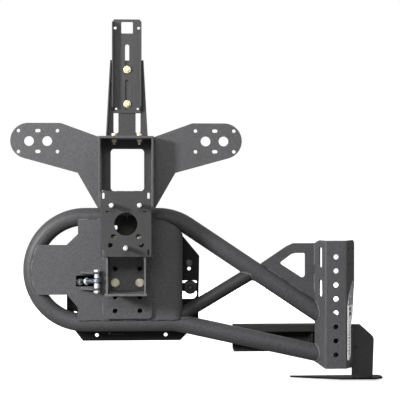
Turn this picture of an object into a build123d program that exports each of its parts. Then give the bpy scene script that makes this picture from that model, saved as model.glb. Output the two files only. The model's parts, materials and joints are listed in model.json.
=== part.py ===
from build123d import *
import math
import os

# Swing-away spare tire carrier: a bent tube frame on a hinge carries the wheel mount, a mast with
# lamp wings and a brake light bracket. A link rod joins it to a plate on the tailgate.
# Frame: origin at the centre of the wheel bolt pattern, on the outer face of the stud plate.
# +X to the right as seen from behind the vehicle, +Y forward into the vehicle, +Z up.
# "Outer" is the -Y side, away from the vehicle. Lengths are millimetres.

# ---------------------------------------------------------------- shared dimensions
PLAY = 0.02                 # between a fastener and the hole it fills
SIDES = (-1, 1)             # left, right
ALONG_Y, UP, DOWN = (0, 1, 0), (0, 0, 1), (0, 0, -1)

# tube frame, centre lines as (x, z) in the plane y = TUBE_Y
TUBE_R, TUBE_WALL = 25.4, 3.0
TUBE_Y = 160.0
BEND_R = 6 * TUBE_R
ARC_X, ARC_Z = -121.5, -135.6           # centre of the half circle at the left
DIAGONAL = ((213.2, -37.6), (527.5, -247.7))
LOWER_RUN = ((213.3, -304.9), (527.5, -374.5))
BRACE = ((213.3, -231.8), (300.2, -180.3))
BRACE_R, BRACE_WALL = 19.05, 2.6

# layers between the wheel mount and the tubes
SKIN_Y1 = TUBE_Y - TUBE_R               # inner face of the main plate, tangent to the tubes
RAIL_Y1 = SKIN_Y1 - 5.0
WEB_Y1 = RAIL_Y1 - 10.0
WEB_Y0 = WEB_Y1 - 6.0

PLATE_HALF_W, PLATE_T = 69.0, 6.35      # stud plate

ADJ_X = 35.0                            # half spacing of the adjustment holes
ADJ_Z = [-50.0 - 40.0 * k for k in range(6)]
ADJ_R = 6.75

MAST_IN = PLATE_HALF_W
MAST_OUT = MAST_IN + 6.0
MAST_TOP = 233.0
MAST_FLANGE_T = 6.0

# hinge
HINGE_X, HINGE_Y = 624.0, 172.0
HOUSING_R, HOUSING_BORE_R = 30.0, 15.0
HOUSING_Z0, HOUSING_Z1 = -411.0, -312.0
COPE_R = 33.0                           # clearance cut round the hinge

# sizes shared by several fasteners
BOLT_10 = dict(radius=5.0, across_flats=16.0, head_h=6.4)
NUT_10 = dict(radius=5.0, across_flats=16.0, height=8.0)


# ---------------------------------------------------------------- solids and files
def solids_of(*things):
    found = []
    for thing in things:
        if isinstance(thing, (list, tuple)):
            found += solids_of(*thing)
        else:
            found += list(thing.solids())
    return found


def gathered(*things):
    """The only solid, or a compound of all of them."""
    found = solids_of(*things)
    return found[0] if len(found) == 1 else Compound(found)


def write(name, *things):
    export_step(gathered(*things), "parts/" + name + ".step")


def fuse(first, *others):
    for other in others:
        first = first + other
    return gathered(first)


def cut(body, *tools):
    for tool in tools:
        body = gathered(body - tool)
    return body


def biggest(shape):
    return max(solids_of(shape), key=lambda solid: solid.volume)


# ---------------------------------------------------------------- outlines
def fillet_arc(corner, last, following, radius):
    """Start, middle and end of the arc that rounds a corner between two other points."""
    to_last = (last - corner).normalized()
    to_next = (following - corner).normalized()
    half_angle = math.acos(max(-1, min(1, to_last.dot(to_next)))) / 2
    setback = radius / math.tan(half_angle)
    bisector = (to_last + to_next).normalized()
    middle = corner + bisector * (radius / math.sin(half_angle) - radius)
    return corner + to_last * setback, middle, corner + to_next * setback


def outline_face(points, to_3d):
    """Face inside a closed outline of (across, up[, corner radius]), placed by to_3d."""
    flat = [Vector(point[0], point[1], 0) for point in points]
    count = len(points)
    corners = []
    for i, point in enumerate(points):
        if len(point) > 2 and point[2] > 0:
            corners.append(fillet_arc(flat[i], flat[i - 1], flat[(i + 1) % count], point[2]))
        else:
            corners.append((flat[i], None, flat[i]))
    edges = []
    for i, (start, middle, end) in enumerate(corners):
        if middle is not None:
            arc = [to_3d(point.X, point.Y) for point in (start, middle, end)]
            edges.append(Edge.make_three_point_arc(*arc))
        following = corners[(i + 1) % count][0]
        if (following - end).length > 1e-6:
            edges.append(Edge.make_line(to_3d(end.X, end.Y), to_3d(following.X, following.Y)))
    return Face(Wire(edges))


def lines(points):
    """Straight edges through a run of 3D points."""
    return [Edge.make_line(start, end) for start, end in zip(points, points[1:])]


def rectangle(across0, up0, across1, up1, radius=0):
    return [(across0, up0, radius), (across1, up0, radius),
            (across1, up1, radius), (across0, up1, radius)]


def both_sides(points):
    """(x, other) points mirrored in x: all on the left, then all on the right."""
    return [(side * x, other) for side in SIDES for x, other in points]


def offset_line(points, distance):
    """Open polyline moved to its left by distance, with mitred joints."""
    normals = []
    for (x0, y0), (x1, y1) in zip(points, points[1:]):
        normals.append(Vector(y0 - y1, x1 - x0, 0).normalized())
    moved = []
    for i, (x, y) in enumerate(points):
        before = normals[max(i - 1, 0)]
        after = normals[min(i, len(normals) - 1)]
        mitre = (before + after).normalized()
        shift = mitre * (distance / mitre.dot(before))
        moved.append((x + shift.X, y + shift.Y))
    return moved


def bent_section(points, thickness, bend_r):
    """Sheet section along points; positive thickness goes to their left, away from the outside
    of the bends, whose outside radius is bend_r."""
    def with_bends(run, radius):
        return [run[0], *[(*point, radius) for point in run[1:-1]], run[-1]]
    inside = offset_line(points, thickness)[::-1]
    return with_bends(points, bend_r) + with_bends(inside, bend_r - abs(thickness))


# ---------------------------------------------------------------- plates, rods and fasteners
# Cutting tools made with these run past both faces of what they cut.
def plate_x(points, x0, x1):
    """Flat plate between two x values; points are (y, z[, corner radius])."""
    face = outline_face(points, lambda y, z: Vector(x0, y, z))
    return Solid.extrude(face, Vector(x1 - x0, 0, 0))


def plate_y(points, y0, y1):
    """Flat plate between two y values; points are (x, z[, corner radius])."""
    face = outline_face(points, lambda x, z: Vector(x, y0, z))
    return Solid.extrude(face, Vector(0, y1 - y0, 0))


def plate_z(points, z0, z1):
    """Flat plate between two z values; points are (x, y[, corner radius])."""
    face = outline_face(points, lambda x, y: Vector(x, y, z0))
    return Solid.extrude(face, Vector(0, 0, z1 - z0))


def slot_y(x, z, width, height, y0, y1, radius=None):
    """Rounded block along y about (x, z); its ends are nearly half round by default."""
    if radius is None:
        radius = min(width, height) / 2 - 0.01
    half_w, half_h = width / 2, height / 2
    return plate_y(rectangle(x - half_w, z - half_h, x + half_w, z + half_h, radius), y0, y1)


def rod(start, direction, radius, length):
    plane = Plane(origin=Vector(*start), z_dir=Vector(*direction))
    return Solid.make_cylinder(radius, length, plane)


def rod_y(x, z, radius, y0, y1):
    return rod((x, y0, z), ALONG_Y, radius, y1 - y0)


def rods_y(centres, radius, y0, y1):
    return [rod_y(x, z, radius, y0, y1) for x, z in centres]


def rod_z(x, y, radius, z0, z1):
    return rod((x, y, z0), UP, radius, z1 - z0)


def hexagon(start, direction, across_flats, height):
    plane = Plane(origin=Vector(*start), z_dir=Vector(*direction))
    corner_r = across_flats / math.sqrt(3)
    angles = [math.pi / 3 * k for k in range(6)]
    corners = [plane.from_local_coords(
        Vector(corner_r * math.cos(angle), corner_r * math.sin(angle), 0)) for angle in angles]
    return Solid.extrude(Face(Wire(lines(corners + corners[:1]))), Vector(*direction) * height)


def bolt(start, direction, radius, grip, across_flats, head_h, tail, flange_r=0, flange_h=0):
    """Hex bolt from the point under its head; tail is the shank beyond the grip."""
    start, direction = Vector(*start), Vector(*direction)
    head_base = start - direction * flange_h
    pieces = [rod(start, direction, radius, grip + tail)]
    if flange_r:
        pieces.append(rod(head_base, direction, flange_r, flange_h))
    pieces.append(hexagon(head_base - direction * head_h, direction, across_flats, head_h))
    return fuse(*pieces)


def bored(body, start, direction, bore, height):
    before = Vector(*start) - Vector(*direction)
    return cut(body, rod(before, direction, bore, height + 2))


def nut(start, direction, radius, across_flats, height):
    body = hexagon(start, direction, across_flats, height)
    return bored(body, start, direction, radius + PLAY, height)


def washer(start, direction, bore, radius, height):
    return bored(rod(start, direction, radius, height), start, direction, bore, height)


os.makedirs("parts", exist_ok=True)


# ---------------------------------------------------------------- tube frame
DIAGONAL_END_X, LOWER_END_X = 614.0, 604.0
BRACE_X0, BRACE_X1 = 118.0, 367.0       # both ends run on, to be coped by the loop


def tube_point(x, z):
    return Vector(x, TUBE_Y, z)


def at_x(line, x):
    (x0, z0), (x1, z1) = line
    return tube_point(x, z0 + (z1 - z0) / (x1 - x0) * (x - x0))


def at_z(line, z):
    (x0, z0), (x1, z1) = line
    return tube_point(x0 + (z - z0) * (x1 - x0) / (z1 - z0), z)


def loop_wire():
    """Centre line: diagonal, bend, top run, half circle, bottom run, bend, lower run."""
    top_z, bottom_z = ARC_Z + BEND_R, ARC_Z - BEND_R
    start, end = at_x(DIAGONAL, DIAGONAL_END_X), at_x(LOWER_RUN, LOWER_END_X)
    arc_top, arc_bottom = tube_point(ARC_X, top_z), tube_point(ARC_X, bottom_z)
    upper_bend = fillet_arc(at_z(DIAGONAL, top_z), start, arc_top, BEND_R)
    lower_bend = fillet_arc(at_z(LOWER_RUN, bottom_z), arc_bottom, end, BEND_R)
    return Wire([
        Edge.make_line(start, upper_bend[0]),
        Edge.make_three_point_arc(*upper_bend),
        Edge.make_line(upper_bend[2], arc_top),
        Edge.make_three_point_arc(arc_top, tube_point(ARC_X - BEND_R, ARC_Z), arc_bottom),
        Edge.make_line(arc_bottom, lower_bend[0]),
        Edge.make_three_point_arc(*lower_bend),
        Edge.make_line(lower_bend[2], end)])


def swept(wire, radius):
    section = Plane(origin=wire.position_at(0), z_dir=wire.tangent_at(0))
    return Solid.sweep(Face(Wire.make_circle(radius, section)), wire)


def hinge_rod(radius, z0, z1):
    return rod_z(HINGE_X, HINGE_Y, radius, z0, z1)


loop_line = loop_wire()
loop_outer = swept(loop_line, TUBE_R)
write("loop_tube", biggest(cut(
    loop_outer,
    swept(loop_line, TUBE_R - TUBE_WALL),
    hinge_rod(COPE_R, HOUSING_Z1 + 1.5, -280.0),
    hinge_rod(HOUSING_R, HOUSING_Z0 - 2.5, HOUSING_Z1 + 1.5),
    hinge_rod(COPE_R, -445.0, HOUSING_Z0 - 2.5))))

brace_line = Wire([Edge.make_line(at_x(BRACE, BRACE_X0), at_x(BRACE, BRACE_X1))])
brace_outer = swept(brace_line, BRACE_R)
write("brace_tube", biggest(cut(
    brace_outer, swept(brace_line, BRACE_R - BRACE_WALL), loop_outer)))

# ---------------------------------------------------------------- main plate and rail
ROLL_R = 24.0                           # outside radius of the rolled right edge
ROLL_X1 = 157.0
ROLL_T = SKIN_Y1 - RAIL_Y1
FLAT_X1 = ROLL_X1 - ROLL_R
MAIN_Z0, MAIN_Z1 = -277.6, -8.0         # height of the right edge
ROUND_R = 150.0                         # rounded left end, about the arc centre
ROUND_Z0, ROUND_Z1 = -204.5, -62.7
# (x, z), from the lower end of the rounded part counter-clockwise to its upper end
MAIN_OUTLINE = [
    (-172.0, ROUND_Z0), (-140.8, -241.0), (-140.8, MAIN_Z0), (FLAT_X1, MAIN_Z0),
    (FLAT_X1, MAIN_Z1), (104.0, 6.0), (78.0, 9.3), (-140.8, 9.3), (-140.8, -31.8),
    (-173.3, ROUND_Z1)]


def adjustment_holes(rows):
    return rods_y(both_sides([(ADJ_X, z) for z in rows]), ADJ_R, 100.0, 140.0)


wire_hole = slot_y(-33.0, -13.0, 9.5, 13.0, 100.0, 140.0)


def main_plate_face():
    def round_end(z):
        return Vector(ARC_X - math.sqrt(ROUND_R ** 2 - (z - ARC_Z) ** 2), RAIL_Y1, z)
    upper, lower = round_end(ROUND_Z1), round_end(ROUND_Z0)
    points = [Vector(x, RAIL_Y1, z) for x, z in MAIN_OUTLINE]
    arc = Edge.make_three_point_arc(upper, Vector(ARC_X - ROUND_R, RAIL_Y1, ARC_Z), lower)
    return Face(Wire(lines(points + [upper]) + [arc] + lines([lower, points[0]])))


def main_plate():
    """Flat plate whose right edge is rolled towards the vehicle."""
    flat = Solid.extrude(main_plate_face(), Vector(0, ROLL_T, 0))
    inner_x = ROLL_X1 - ROLL_T
    roll = plate_z([(FLAT_X1, RAIL_Y1), (ROLL_X1, RAIL_Y1, ROLL_R), (ROLL_X1, 168.0),
                    (inner_x, 168.0), (inner_x, SKIN_Y1, ROLL_R - ROLL_T),
                    (FLAT_X1, SKIN_Y1)], MAIN_Z0, MAIN_Z1)
    top_trim = plate_y([(FLAT_X1 - 1, -7.0), (170.0, -7.0), (170.0, -44.0), (ROLL_X1, -33.0),
                        (148.0, -20.0), (FLAT_X1, MAIN_Z1)], 120.0, 175.0)
    plate = cut(fuse(flat, cut(roll, top_trim)), loop_outer, brace_outer)
    link_slot = slot_y(-118.3, -165.4, 56.5, 31.5, 120.0, 140.0, 3.0)
    return biggest(cut(plate, *adjustment_holes(ADJ_Z), wire_hole, link_slot))


def rail_plate():
    plate = plate_y([(-PLATE_HALF_W, -272.5, 10), (PLATE_HALF_W, -272.5, 10),
                     (PLATE_HALF_W, 4.0, 6), (-PLATE_HALF_W, 4.0, 6)], WEB_Y1, RAIL_Y1)
    return cut(plate, *adjustment_holes(ADJ_Z), wire_hole)


write("main_plate", main_plate())
write("rail_plate", rail_plate())

# ---------------------------------------------------------------- wheel mount
MOUNT_HALF_W, MOUNT_WALL = 54.0, 5.0
BOX_FLOOR_Z = -190.0
STUD_PLATE_Z0, STUD_PLATE_Z1 = -88.5, 89.5
CAMERA_HOLE_R = 31.3
STUD_PCD = 127.0                        # five-stud wheel pattern, three studs used
STUD_ANGLES = (-36, 36, 180)            # degrees from the top
STUD_R, STUD_OUT, STUD_TIP = 6.35, 42.0, 1.5
KNURL_R = 6.52                          # knurled part that is pressed into the plate
STUD_XZ = [(STUD_PCD / 2 * math.sin(math.radians(angle)),
            STUD_PCD / 2 * math.cos(math.radians(angle))) for angle in STUD_ANGLES]
MOUNT_WASHER_T = 2.5


def mount_channel():
    """Channel open towards the stud plate."""
    half_inside = MOUNT_HALF_W - MOUNT_WALL
    channel = plate_z([(-MOUNT_HALF_W, PLATE_T), (-MOUNT_HALF_W, WEB_Y1, 6),
                       (MOUNT_HALF_W, WEB_Y1, 6), (MOUNT_HALF_W, PLATE_T),
                       (half_inside, PLATE_T), (half_inside, WEB_Y0, 1),
                       (-half_inside, WEB_Y0, 1), (-half_inside, PLATE_T)], BOX_FLOOR_Z, 88.0)
    return cut(channel, *adjustment_holes(ADJ_Z[:4]), wire_hole)


def stud_plate():
    plate = plate_y(rectangle(-PLATE_HALF_W, STUD_PLATE_Z0, PLATE_HALF_W, STUD_PLATE_Z1, 3),
                    0.0, PLATE_T)
    reach = (-1, 10)
    return cut(
        plate,
        rod_y(0, 0, CAMERA_HOLE_R, *reach),
        *[slot_y(x, z, 6.4, 16.5, *reach) for x, z in both_sides([(61.0, 77.0), (61.0, -77.0)])],
        *rods_y(both_sides([(33.7, -33.6)]), 6.75, *reach),
        *rods_y(both_sides([(42.0, -57.0)]), 6.75, *reach),
        *[slot_y(x, z, 12.0, 3.6, *reach) for x, z in both_sides([(52.0, 34.0)])],
        *rods_y(STUD_XZ, KNURL_R + PLAY, *reach))


def wheel_stud(x, z):
    """Stud pressed in from the inner side, hexagon head inside the channel."""
    body = rod_y(x, z, STUD_R, -STUD_OUT + STUD_TIP, PLATE_T)
    tip = Solid.make_cone(STUD_R - STUD_TIP, STUD_R, STUD_TIP,
                          Plane(origin=Vector(x, -STUD_OUT, z), z_dir=Vector(*ALONG_Y)))
    head = hexagon((x, PLATE_T, z), ALONG_Y, 19.0, 8.0)
    return fuse(body, tip, head, rod_y(x, z, KNURL_R, -0.5, PLATE_T))


write("mount_channel", mount_channel())
write("mount_bottom_plate", plate_z(rectangle(-57.5, PLATE_T, 57.5, WEB_Y1, 2),
                                    BOX_FLOOR_Z - 6.0, BOX_FLOOR_Z))
write("stud_plate", stud_plate())
write("wheel_studs", [wheel_stud(x, z) for x, z in STUD_XZ])

# bolts that hold the wheel mount on the rail
mount_bolt_xz = both_sides([(ADJ_X, ADJ_Z[0]), (ADJ_X, ADJ_Z[3])])
washer_y = WEB_Y0 - MOUNT_WASHER_T
write("mount_bolts", [
    bolt((x, washer_y, z), ALONG_Y, radius=6.0, grip=SKIN_Y1 - washer_y, across_flats=19.0,
         head_h=7.5, tail=17.0, flange_r=12.5, flange_h=1.8) for x, z in mount_bolt_xz])
write("mount_washers", [
    washer((x, washer_y, z), ALONG_Y, 6.1, 12.9, MOUNT_WASHER_T) for x, z in mount_bolt_xz])
write("mount_nuts", [
    nut((x, SKIN_Y1, z), ALONG_Y, 6.0, 19.0, 12.0) for x, z in mount_bolt_xz])

# ---------------------------------------------------------------- mast and lamp wings
MAST_WALL_OUTLINE = [(0.0, 44.0, 3), (62.0, 44.0, 3), (62.0, 86.0), (WEB_Y1, 100.0),
                     (WEB_Y1, MAST_TOP), (0.0, MAST_TOP)]      # (y, z, corner radius)
TOWER_BOLT_XY = both_sides([(35.2, 62.0)])
tower_bolt_holes = [rod_z(x, y, 4.5, 225.0, 260.0) for x, y in TOWER_BOLT_XY]
WING_Y0, WING_Y1 = 55.0, 60.0


def mast_web():
    web = plate_y(rectangle(-MAST_IN, 88.0, MAST_IN, MAST_TOP), WEB_Y0, WEB_Y1)
    return cut(web, slot_y(0, 149.6, 94.4, 119.2, 100, 130, 10.0))


def mast_top_flange():
    flange = plate_z(rectangle(-MAST_OUT, 0.0, MAST_OUT, WEB_Y1, 3),
                     MAST_TOP, MAST_TOP + MAST_FLANGE_T)
    return cut(flange, *tower_bolt_holes)


def wing_face(side):
    """Straight top and lower edges, round outboard end."""
    def points(*table):
        return [Vector(side * x, WING_Y0, z) for x, z in table]
    top_bend = points((178.0, 276.6), (181.2, 277.5), (184.5, 277.8))
    end_arc = points((272.0, 277.8), (318.9, 235.5), (283.0, 181.0))
    root_top, root_bottom = points((MAST_OUT, 239.3), (MAST_OUT, 43.0))
    lower_edge = points((134.8, 140.1), (79.3, 43.0))
    return Face(Wire([
        *lines([root_bottom, root_top, top_bend[0]]),
        Edge.make_three_point_arc(*top_bend),
        *lines([top_bend[2], end_arc[0]]),
        Edge.make_three_point_arc(*end_arc),
        *lines([end_arc[2], *lower_edge, root_bottom])]))


def wing(side):
    plate = Solid.extrude(wing_face(side), Vector(0, WING_Y1 - WING_Y0, 0))
    reach = (50, 65)
    return cut(
        plate,
        *[rod_y(side * x, 227.8, 13.6, *reach) for x in (218.6, 268.4)],
        *[rod_y(side * x, z, 5.0, *reach) for x in (190.5, 297.3) for z in (256.5, 199.0)],
        *[slot_y(side * 244.2, z, 15.0, 9.6, *reach) for z in (256.6, 199.2)])


for side, side_name in zip(SIDES, ("left", "right")):
    write("mast_wall_" + side_name,
          plate_x(MAST_WALL_OUTLINE, *sorted((side * MAST_IN, side * MAST_OUT))))
    write("wing_" + side_name, wing(side))
write("mast_web", mast_web())
write("mast_top_flange", mast_top_flange())

# ---------------------------------------------------------------- tower and light bracket
SHEET_T = 4.0
TOWER_Y0 = 84.1
TOWER_Y1 = TOWER_Y0 + SHEET_T
TOWER_Z0, TOWER_Z1 = MAST_TOP + MAST_FLANGE_T, 455.0
TOWER_FOOT_Z1 = TOWER_Z0 + SHEET_T
TOWER_HALF_W0, TOWER_HALF_W1 = 58.2, 46.3       # at the bottom and at the top
FOOT_WASHER_T = 1.6
LIGHT_Y0 = 80.0
LIGHT_Y1 = LIGHT_Y0 + SHEET_T
LIGHT_HALF_W = 40.8
LIGHT_Z0, LIGHT_Z1 = 307.5, 569.0
LIGHT_BOLT_XZ = [(0.6, 333.0), (0.6, 429.0)]


def tower_bracket():
    wide, narrow = TOWER_HALF_W0, TOWER_HALF_W1
    pieces = [plate_y([(-wide, TOWER_Z0), (wide, TOWER_Z0), (narrow, TOWER_Z1, 3),
                       (-narrow, TOWER_Z1, 3)], TOWER_Y0, TOWER_Y1)]
    for side in SIDES:
        flange = plate_y([(side * wide, TOWER_Z0), (side * (wide - SHEET_T), TOWER_Z0),
                          (side * (narrow - SHEET_T), TOWER_Z1), (side * narrow, TOWER_Z1)],
                         70.0, TOWER_Y0 + 0.5)
        top_slope = plate_x([(55.0, 420.0), (64.0, 420.0), (78.0, 460.0), (55.0, 460.0)],
                            -70.0, 70.0)
        pieces.append(cut(flange, top_slope))
    pieces.append(plate_z([(-54.0, 44.0, 4), (54.0, 44.0, 4), (54.0, TOWER_Y1),
                           (-54.0, TOWER_Y1)], TOWER_Z0, TOWER_FOOT_Z1))
    return cut(
        fuse(*pieces),
        *[slot_y(side * 30.8, 326.0, 13.4, 150.0, 80, 92) for side in SIDES],
        *rods_y(LIGHT_BOLT_XZ, 5.2, 80, 92),
        *tower_bolt_holes)


def light_bracket():
    """Third brake light bracket, slides on the tower."""
    half_w = LIGHT_HALF_W
    pieces = [plate_y([(-half_w, LIGHT_Z0, 4), (half_w, LIGHT_Z0, 4), (half_w, LIGHT_Z1 - 8),
                       (half_w - 5, LIGHT_Z1), (-half_w + 5, LIGHT_Z1), (-half_w, LIGHT_Z1 - 8)],
                      LIGHT_Y0, LIGHT_Y1)]
    for side in SIDES:
        pieces.append(plate_x([(61.0, 322.0, 6), (LIGHT_Y0 + 0.5, 312.0),
                               (LIGHT_Y0 + 0.5, 561.0), (68.0, 561.0), (61.0, 552.0)],
                              *sorted((side * (half_w - SHEET_T), side * half_w))))
    reach = (70, 90)
    return cut(
        fuse(*pieces),
        slot_y(0.5, 546.0, 32.0, 32.4, *reach, 2.0),
        *rods_y(both_sides([(32.6, 545.0)]), 4.3, *reach),
        *[slot_y(0.6, z, 11.5, 86.0, *reach) for z in (456.5, 357.5)],
        *rods_y(both_sides([(30.0, 319.5)]), 3.2, *reach))


write("tower_bracket", tower_bracket())
write("light_bracket", light_bracket())
write("tower_bolts", [
    bolt((x, y, TOWER_FOOT_Z1 + FOOT_WASHER_T), DOWN, radius=4.0,
         grip=FOOT_WASHER_T + SHEET_T + MAST_FLANGE_T, across_flats=13.0, head_h=5.3, tail=14.0)
    for x, y in TOWER_BOLT_XY])
write("bracket_washers",
      [washer((x, y, TOWER_FOOT_Z1), UP, 4.1, 8.5, FOOT_WASHER_T) for x, y in TOWER_BOLT_XY],
      [washer((x, LIGHT_Y0 - 2.0, z), ALONG_Y, 5.1, 10.0, 1.95) for x, z in LIGHT_BOLT_XZ])
write("bracket_nuts",
      [nut((x, y, MAST_TOP), DOWN, 4.0, 13.0, 6.8) for x, y in TOWER_BOLT_XY],
      [nut((x, TOWER_Y1, z), ALONG_Y, **NUT_10) for x, z in LIGHT_BOLT_XZ])
write("light_bracket_bolts", [
    bolt((x, LIGHT_Y0 - 2.0, z), ALONG_Y, radius=5.0, grip=TOWER_Y1 - LIGHT_Y0 + 2.0,
         across_flats=15.0, head_h=5.5, tail=11.0) for x, z in LIGHT_BOLT_XZ])

# ---------------------------------------------------------------- camera bracket
# angle on the mount channel web, level with the centre opening
CAMERA_Z0, CAMERA_T = 22.0, 4.0
CAMERA_Z1 = CAMERA_Z0 + CAMERA_T
CAMERA_BOLT_Y = 84.0

camera_bracket = plate_x([(64.0, CAMERA_Z0), (64.0, CAMERA_Z1), (WEB_Y0 - CAMERA_T, CAMERA_Z1, 2),
                          (WEB_Y0 - CAMERA_T, 42.0), (WEB_Y0, 42.0), (WEB_Y0, CAMERA_Z0, 5)],
                         -20.0, 20.0)
write("camera_bracket", cut(camera_bracket, rod_z(0, CAMERA_BOLT_Y, 3.3, 10.0, 40.0)))
write("camera_bracket_fasteners",
      bolt((0, CAMERA_BOLT_Y, CAMERA_Z1), DOWN, radius=3.0, grip=CAMERA_T, across_flats=10.0,
           head_h=4.0, tail=17.0),
      nut((0, CAMERA_BOLT_Y, CAMERA_Z0), DOWN, 3.0, 10.0, 5.0))

# ---------------------------------------------------------------- accessory channel at the hinge
CHANNEL_T = 5.0
CHANNEL_Z0, CHANNEL_Z1 = -417.5, -51.5
# outside of the section as (x, y): left wall, outer web, right wall
CHANNEL_LINE = [(540.6, 157.0), (563.5, 109.0), (625.2, 109.0), (656.0, 155.0)]
LEFT_WALL = (CHANNEL_LINE[1], CHANNEL_LINE[0])          # each from its bend to its free edge
RIGHT_WALL = (CHANNEL_LINE[2], CHANNEL_LINE[3])
WEB_HOLES = [(594.3, -97.8 - 40.0 * k) for k in range(8)]
# cutters for the ends and edges of the walls, as (x, z)
WALL_TRIMS = [
    # left wall, bottom corner
    [(530, -404.0), (541.0, -404.0), (563.5, CHANNEL_Z0), (563.5, -430), (530, -430)],
    # left wall, top corner
    [(530, -40.0), (557.0, -40.0), (552.0, CHANNEL_Z1), (541.0, -60.5), (530, -60.5)],
    # right wall, top corner
    [(648.0, CHANNEL_Z1), (651.0, CHANNEL_Z1), (656.5, -60.0), (670.0, -60.0), (670.0, -40.0),
     (648.0, -40.0)],
    # right wall, free edge of the lower part
    [(639.4, -430), (639.4, -300.0), (648.8, -275.0), (656.6, -171.0), (680, -171.0),
     (680, -430)]]
# (distance from the bend, z) on the right wall
TRIM_OUTLINE = [
    (42.0, -167.6, 1), (8.5, -216.2, 2), (5.0, -233.0, 2), (5.0, -394.5, 2), (14.0, -394.5, 2),
    (22.0, -386.0, 2), (24.8, -372.0, 2), (24.8, -300.0, 3), (35.5, -274.0, 3), (40.5, -236.5)]
RIVETS = [(24.0, -213.0), (20.0, -284.0), (14.5, -386.0)]
RIVET_R = 1.6
TRIM_T = 2.0
TRIM_DEPTH = -TRIM_T - PLAY             # outer face of the strip, from the wall's outside


def wall_axes(wall):
    """Directions along a wall from its bend, and square to it on the left."""
    (x0, y0), (x1, y1) = wall
    along = Vector(x1 - x0, y1 - y0, 0).normalized()
    return along, Vector(-along.Y, along.X, 0)


def wall_point(wall, distance, z, depth):
    along, normal = wall_axes(wall)
    return Vector(*wall[0], 0) + along * distance + normal * depth + Vector(0, 0, z)


def wall_plate(wall, points, depth, thickness):
    """Plate on a wall; points are (distance from the bend, z[, corner radius])."""
    face = outline_face(points, lambda distance, z: wall_point(wall, distance, z, depth))
    return Solid.extrude(face, wall_axes(wall)[1] * thickness)


def wall_slot(wall, distance, z, width, height, radius, depth=-20, thickness=40):
    half_w, half_h = width / 2, height / 2
    points = rectangle(distance - half_w, z - half_h, distance + half_w, z + half_h, radius)
    return wall_plate(wall, points, depth, thickness)


def right_wall_rod(distance, z, depth, radius, length):
    return rod(wall_point(RIGHT_WALL, distance, z, depth), wall_axes(RIGHT_WALL)[1],
               radius, length)


rivet_holes = [right_wall_rod(distance, z, -4, RIVET_R + PLAY, 14.0) for distance, z in RIVETS]


def hinge_channel():
    channel = plate_z(bent_section(CHANNEL_LINE, CHANNEL_T, 8.0), CHANNEL_Z0, CHANNEL_Z1)
    channel = cut(
        channel,
        plate_z(rectangle(530.0, 157.3, 560.0, 170.0), CHANNEL_Z0 - 5, CHANNEL_Z1 + 5),
        *rods_y(WEB_HOLES, 7.5, 100, 125),
        *[plate_y(outline, 100, 170) for outline in WALL_TRIMS],
        wall_slot(LEFT_WALL, 24.5, -100.5, 15.5, 60.0, 7.0),
        wall_slot(LEFT_WALL, 24.5, -188.5, 15.5, 50.0, 7.0),
        *[wall_slot(RIGHT_WALL, distance, z, 9.0, 9.0, 2.0)
          for distance in (15.0, 41.0) for z in (-76.0, -121.0)],
        loop_outer)
    return biggest(cut(biggest(channel), *rivet_holes))


def trim_strip():
    """Brushed strip on the outside of the right wall, with a ladder of windows."""
    strip = wall_plate(RIGHT_WALL, TRIM_OUTLINE, TRIM_DEPTH, TRIM_T)
    reach = (TRIM_DEPTH - 2, 6.0)
    small = [wall_slot(RIGHT_WALL, 14.5, -295.5 - 9.0 * k, 11.0, 4.4, 1.0, *reach)
             for k in range(10)]
    large = [wall_slot(RIGHT_WALL, 22.5, -248.5 - 14.0 * k, 17.0, 11.0, 2, *reach)
             for k in range(2)]
    return cut(strip, *rivet_holes, *small, *large)


def rivet(distance, z):
    shank = right_wall_rod(distance, z, TRIM_DEPTH, RIVET_R, CHANNEL_T - TRIM_DEPTH)
    head = right_wall_rod(distance, z, TRIM_DEPTH - 1.2, 3.2, 1.2)
    return fuse(shank, head, right_wall_rod(distance, z, CHANNEL_T, 2.8, 1.5))


write("hinge_channel", hinge_channel())
write("trim_strip", trim_strip())
write("trim_rivets", [rivet(distance, z) for distance, z in RIVETS])

# ---------------------------------------------------------------- gusset and web between tubes
GUSSET_Y = (TUBE_Y - 2.5, TUBE_Y + 2.5)
GUSSET_OUTLINE = [(384.0, -119.0), (457.3, -69.9, 8), (477.0, -60.7, 10), (545.0, -60.7),
                  (545.0, -262.0), DIAGONAL[1], (384.0, -152.0)]
GUSSET_WINDOW = [(437.5, -118.0, 5), (472.0, -92.5, 8), (484.0, -89.1, 6), (512.4, -89.1, 4),
                 (512.5, -166.5, 8)]

# gusset between the diagonal tube and the channel
write("hinge_gusset", biggest(cut(
    plate_y(GUSSET_OUTLINE, *GUSSET_Y), plate_y(GUSSET_WINDOW, 150, 170),
    loop_outer, brace_outer)))
write("hinge_web", biggest(cut(
    plate_y(rectangle(548.0, -372.0, 596.0, -285.0), *GUSSET_Y), loop_outer,
    hinge_rod(COPE_R, HOUSING_Z1 - 0.5, -270.0),
    hinge_rod(HOUSING_R, HOUSING_Z0 - 2, HOUSING_Z1 + 2))))

# ---------------------------------------------------------------- hinge housing, bushes, nipple
SPINDLE_R = 9.5
BUSH_IN_R, BUSH_OUT_R = 9.55, HOUSING_BORE_R - PLAY
BUSH_LENGTH, BUSH_FLANGE_T = 32.0, 2.0
NIPPLE_ANGLE = math.radians(215)
NIPPLE_DIR = (math.cos(NIPPLE_ANGLE), math.sin(NIPPLE_ANGLE), 0)


def nipple_point(distance):
    """Point on the nipple's axis, at a distance from the hinge axis."""
    return Vector(HINGE_X, HINGE_Y, -352.0) + Vector(*NIPPLE_DIR) * distance


def bush(z0, flange_z0):
    body = fuse(hinge_rod(BUSH_OUT_R, z0, z0 + BUSH_LENGTH),
                hinge_rod(20.0, flange_z0, flange_z0 + BUSH_FLANGE_T))
    return cut(body, hinge_rod(BUSH_IN_R, z0 - 5, z0 + BUSH_LENGTH + 5))


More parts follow.
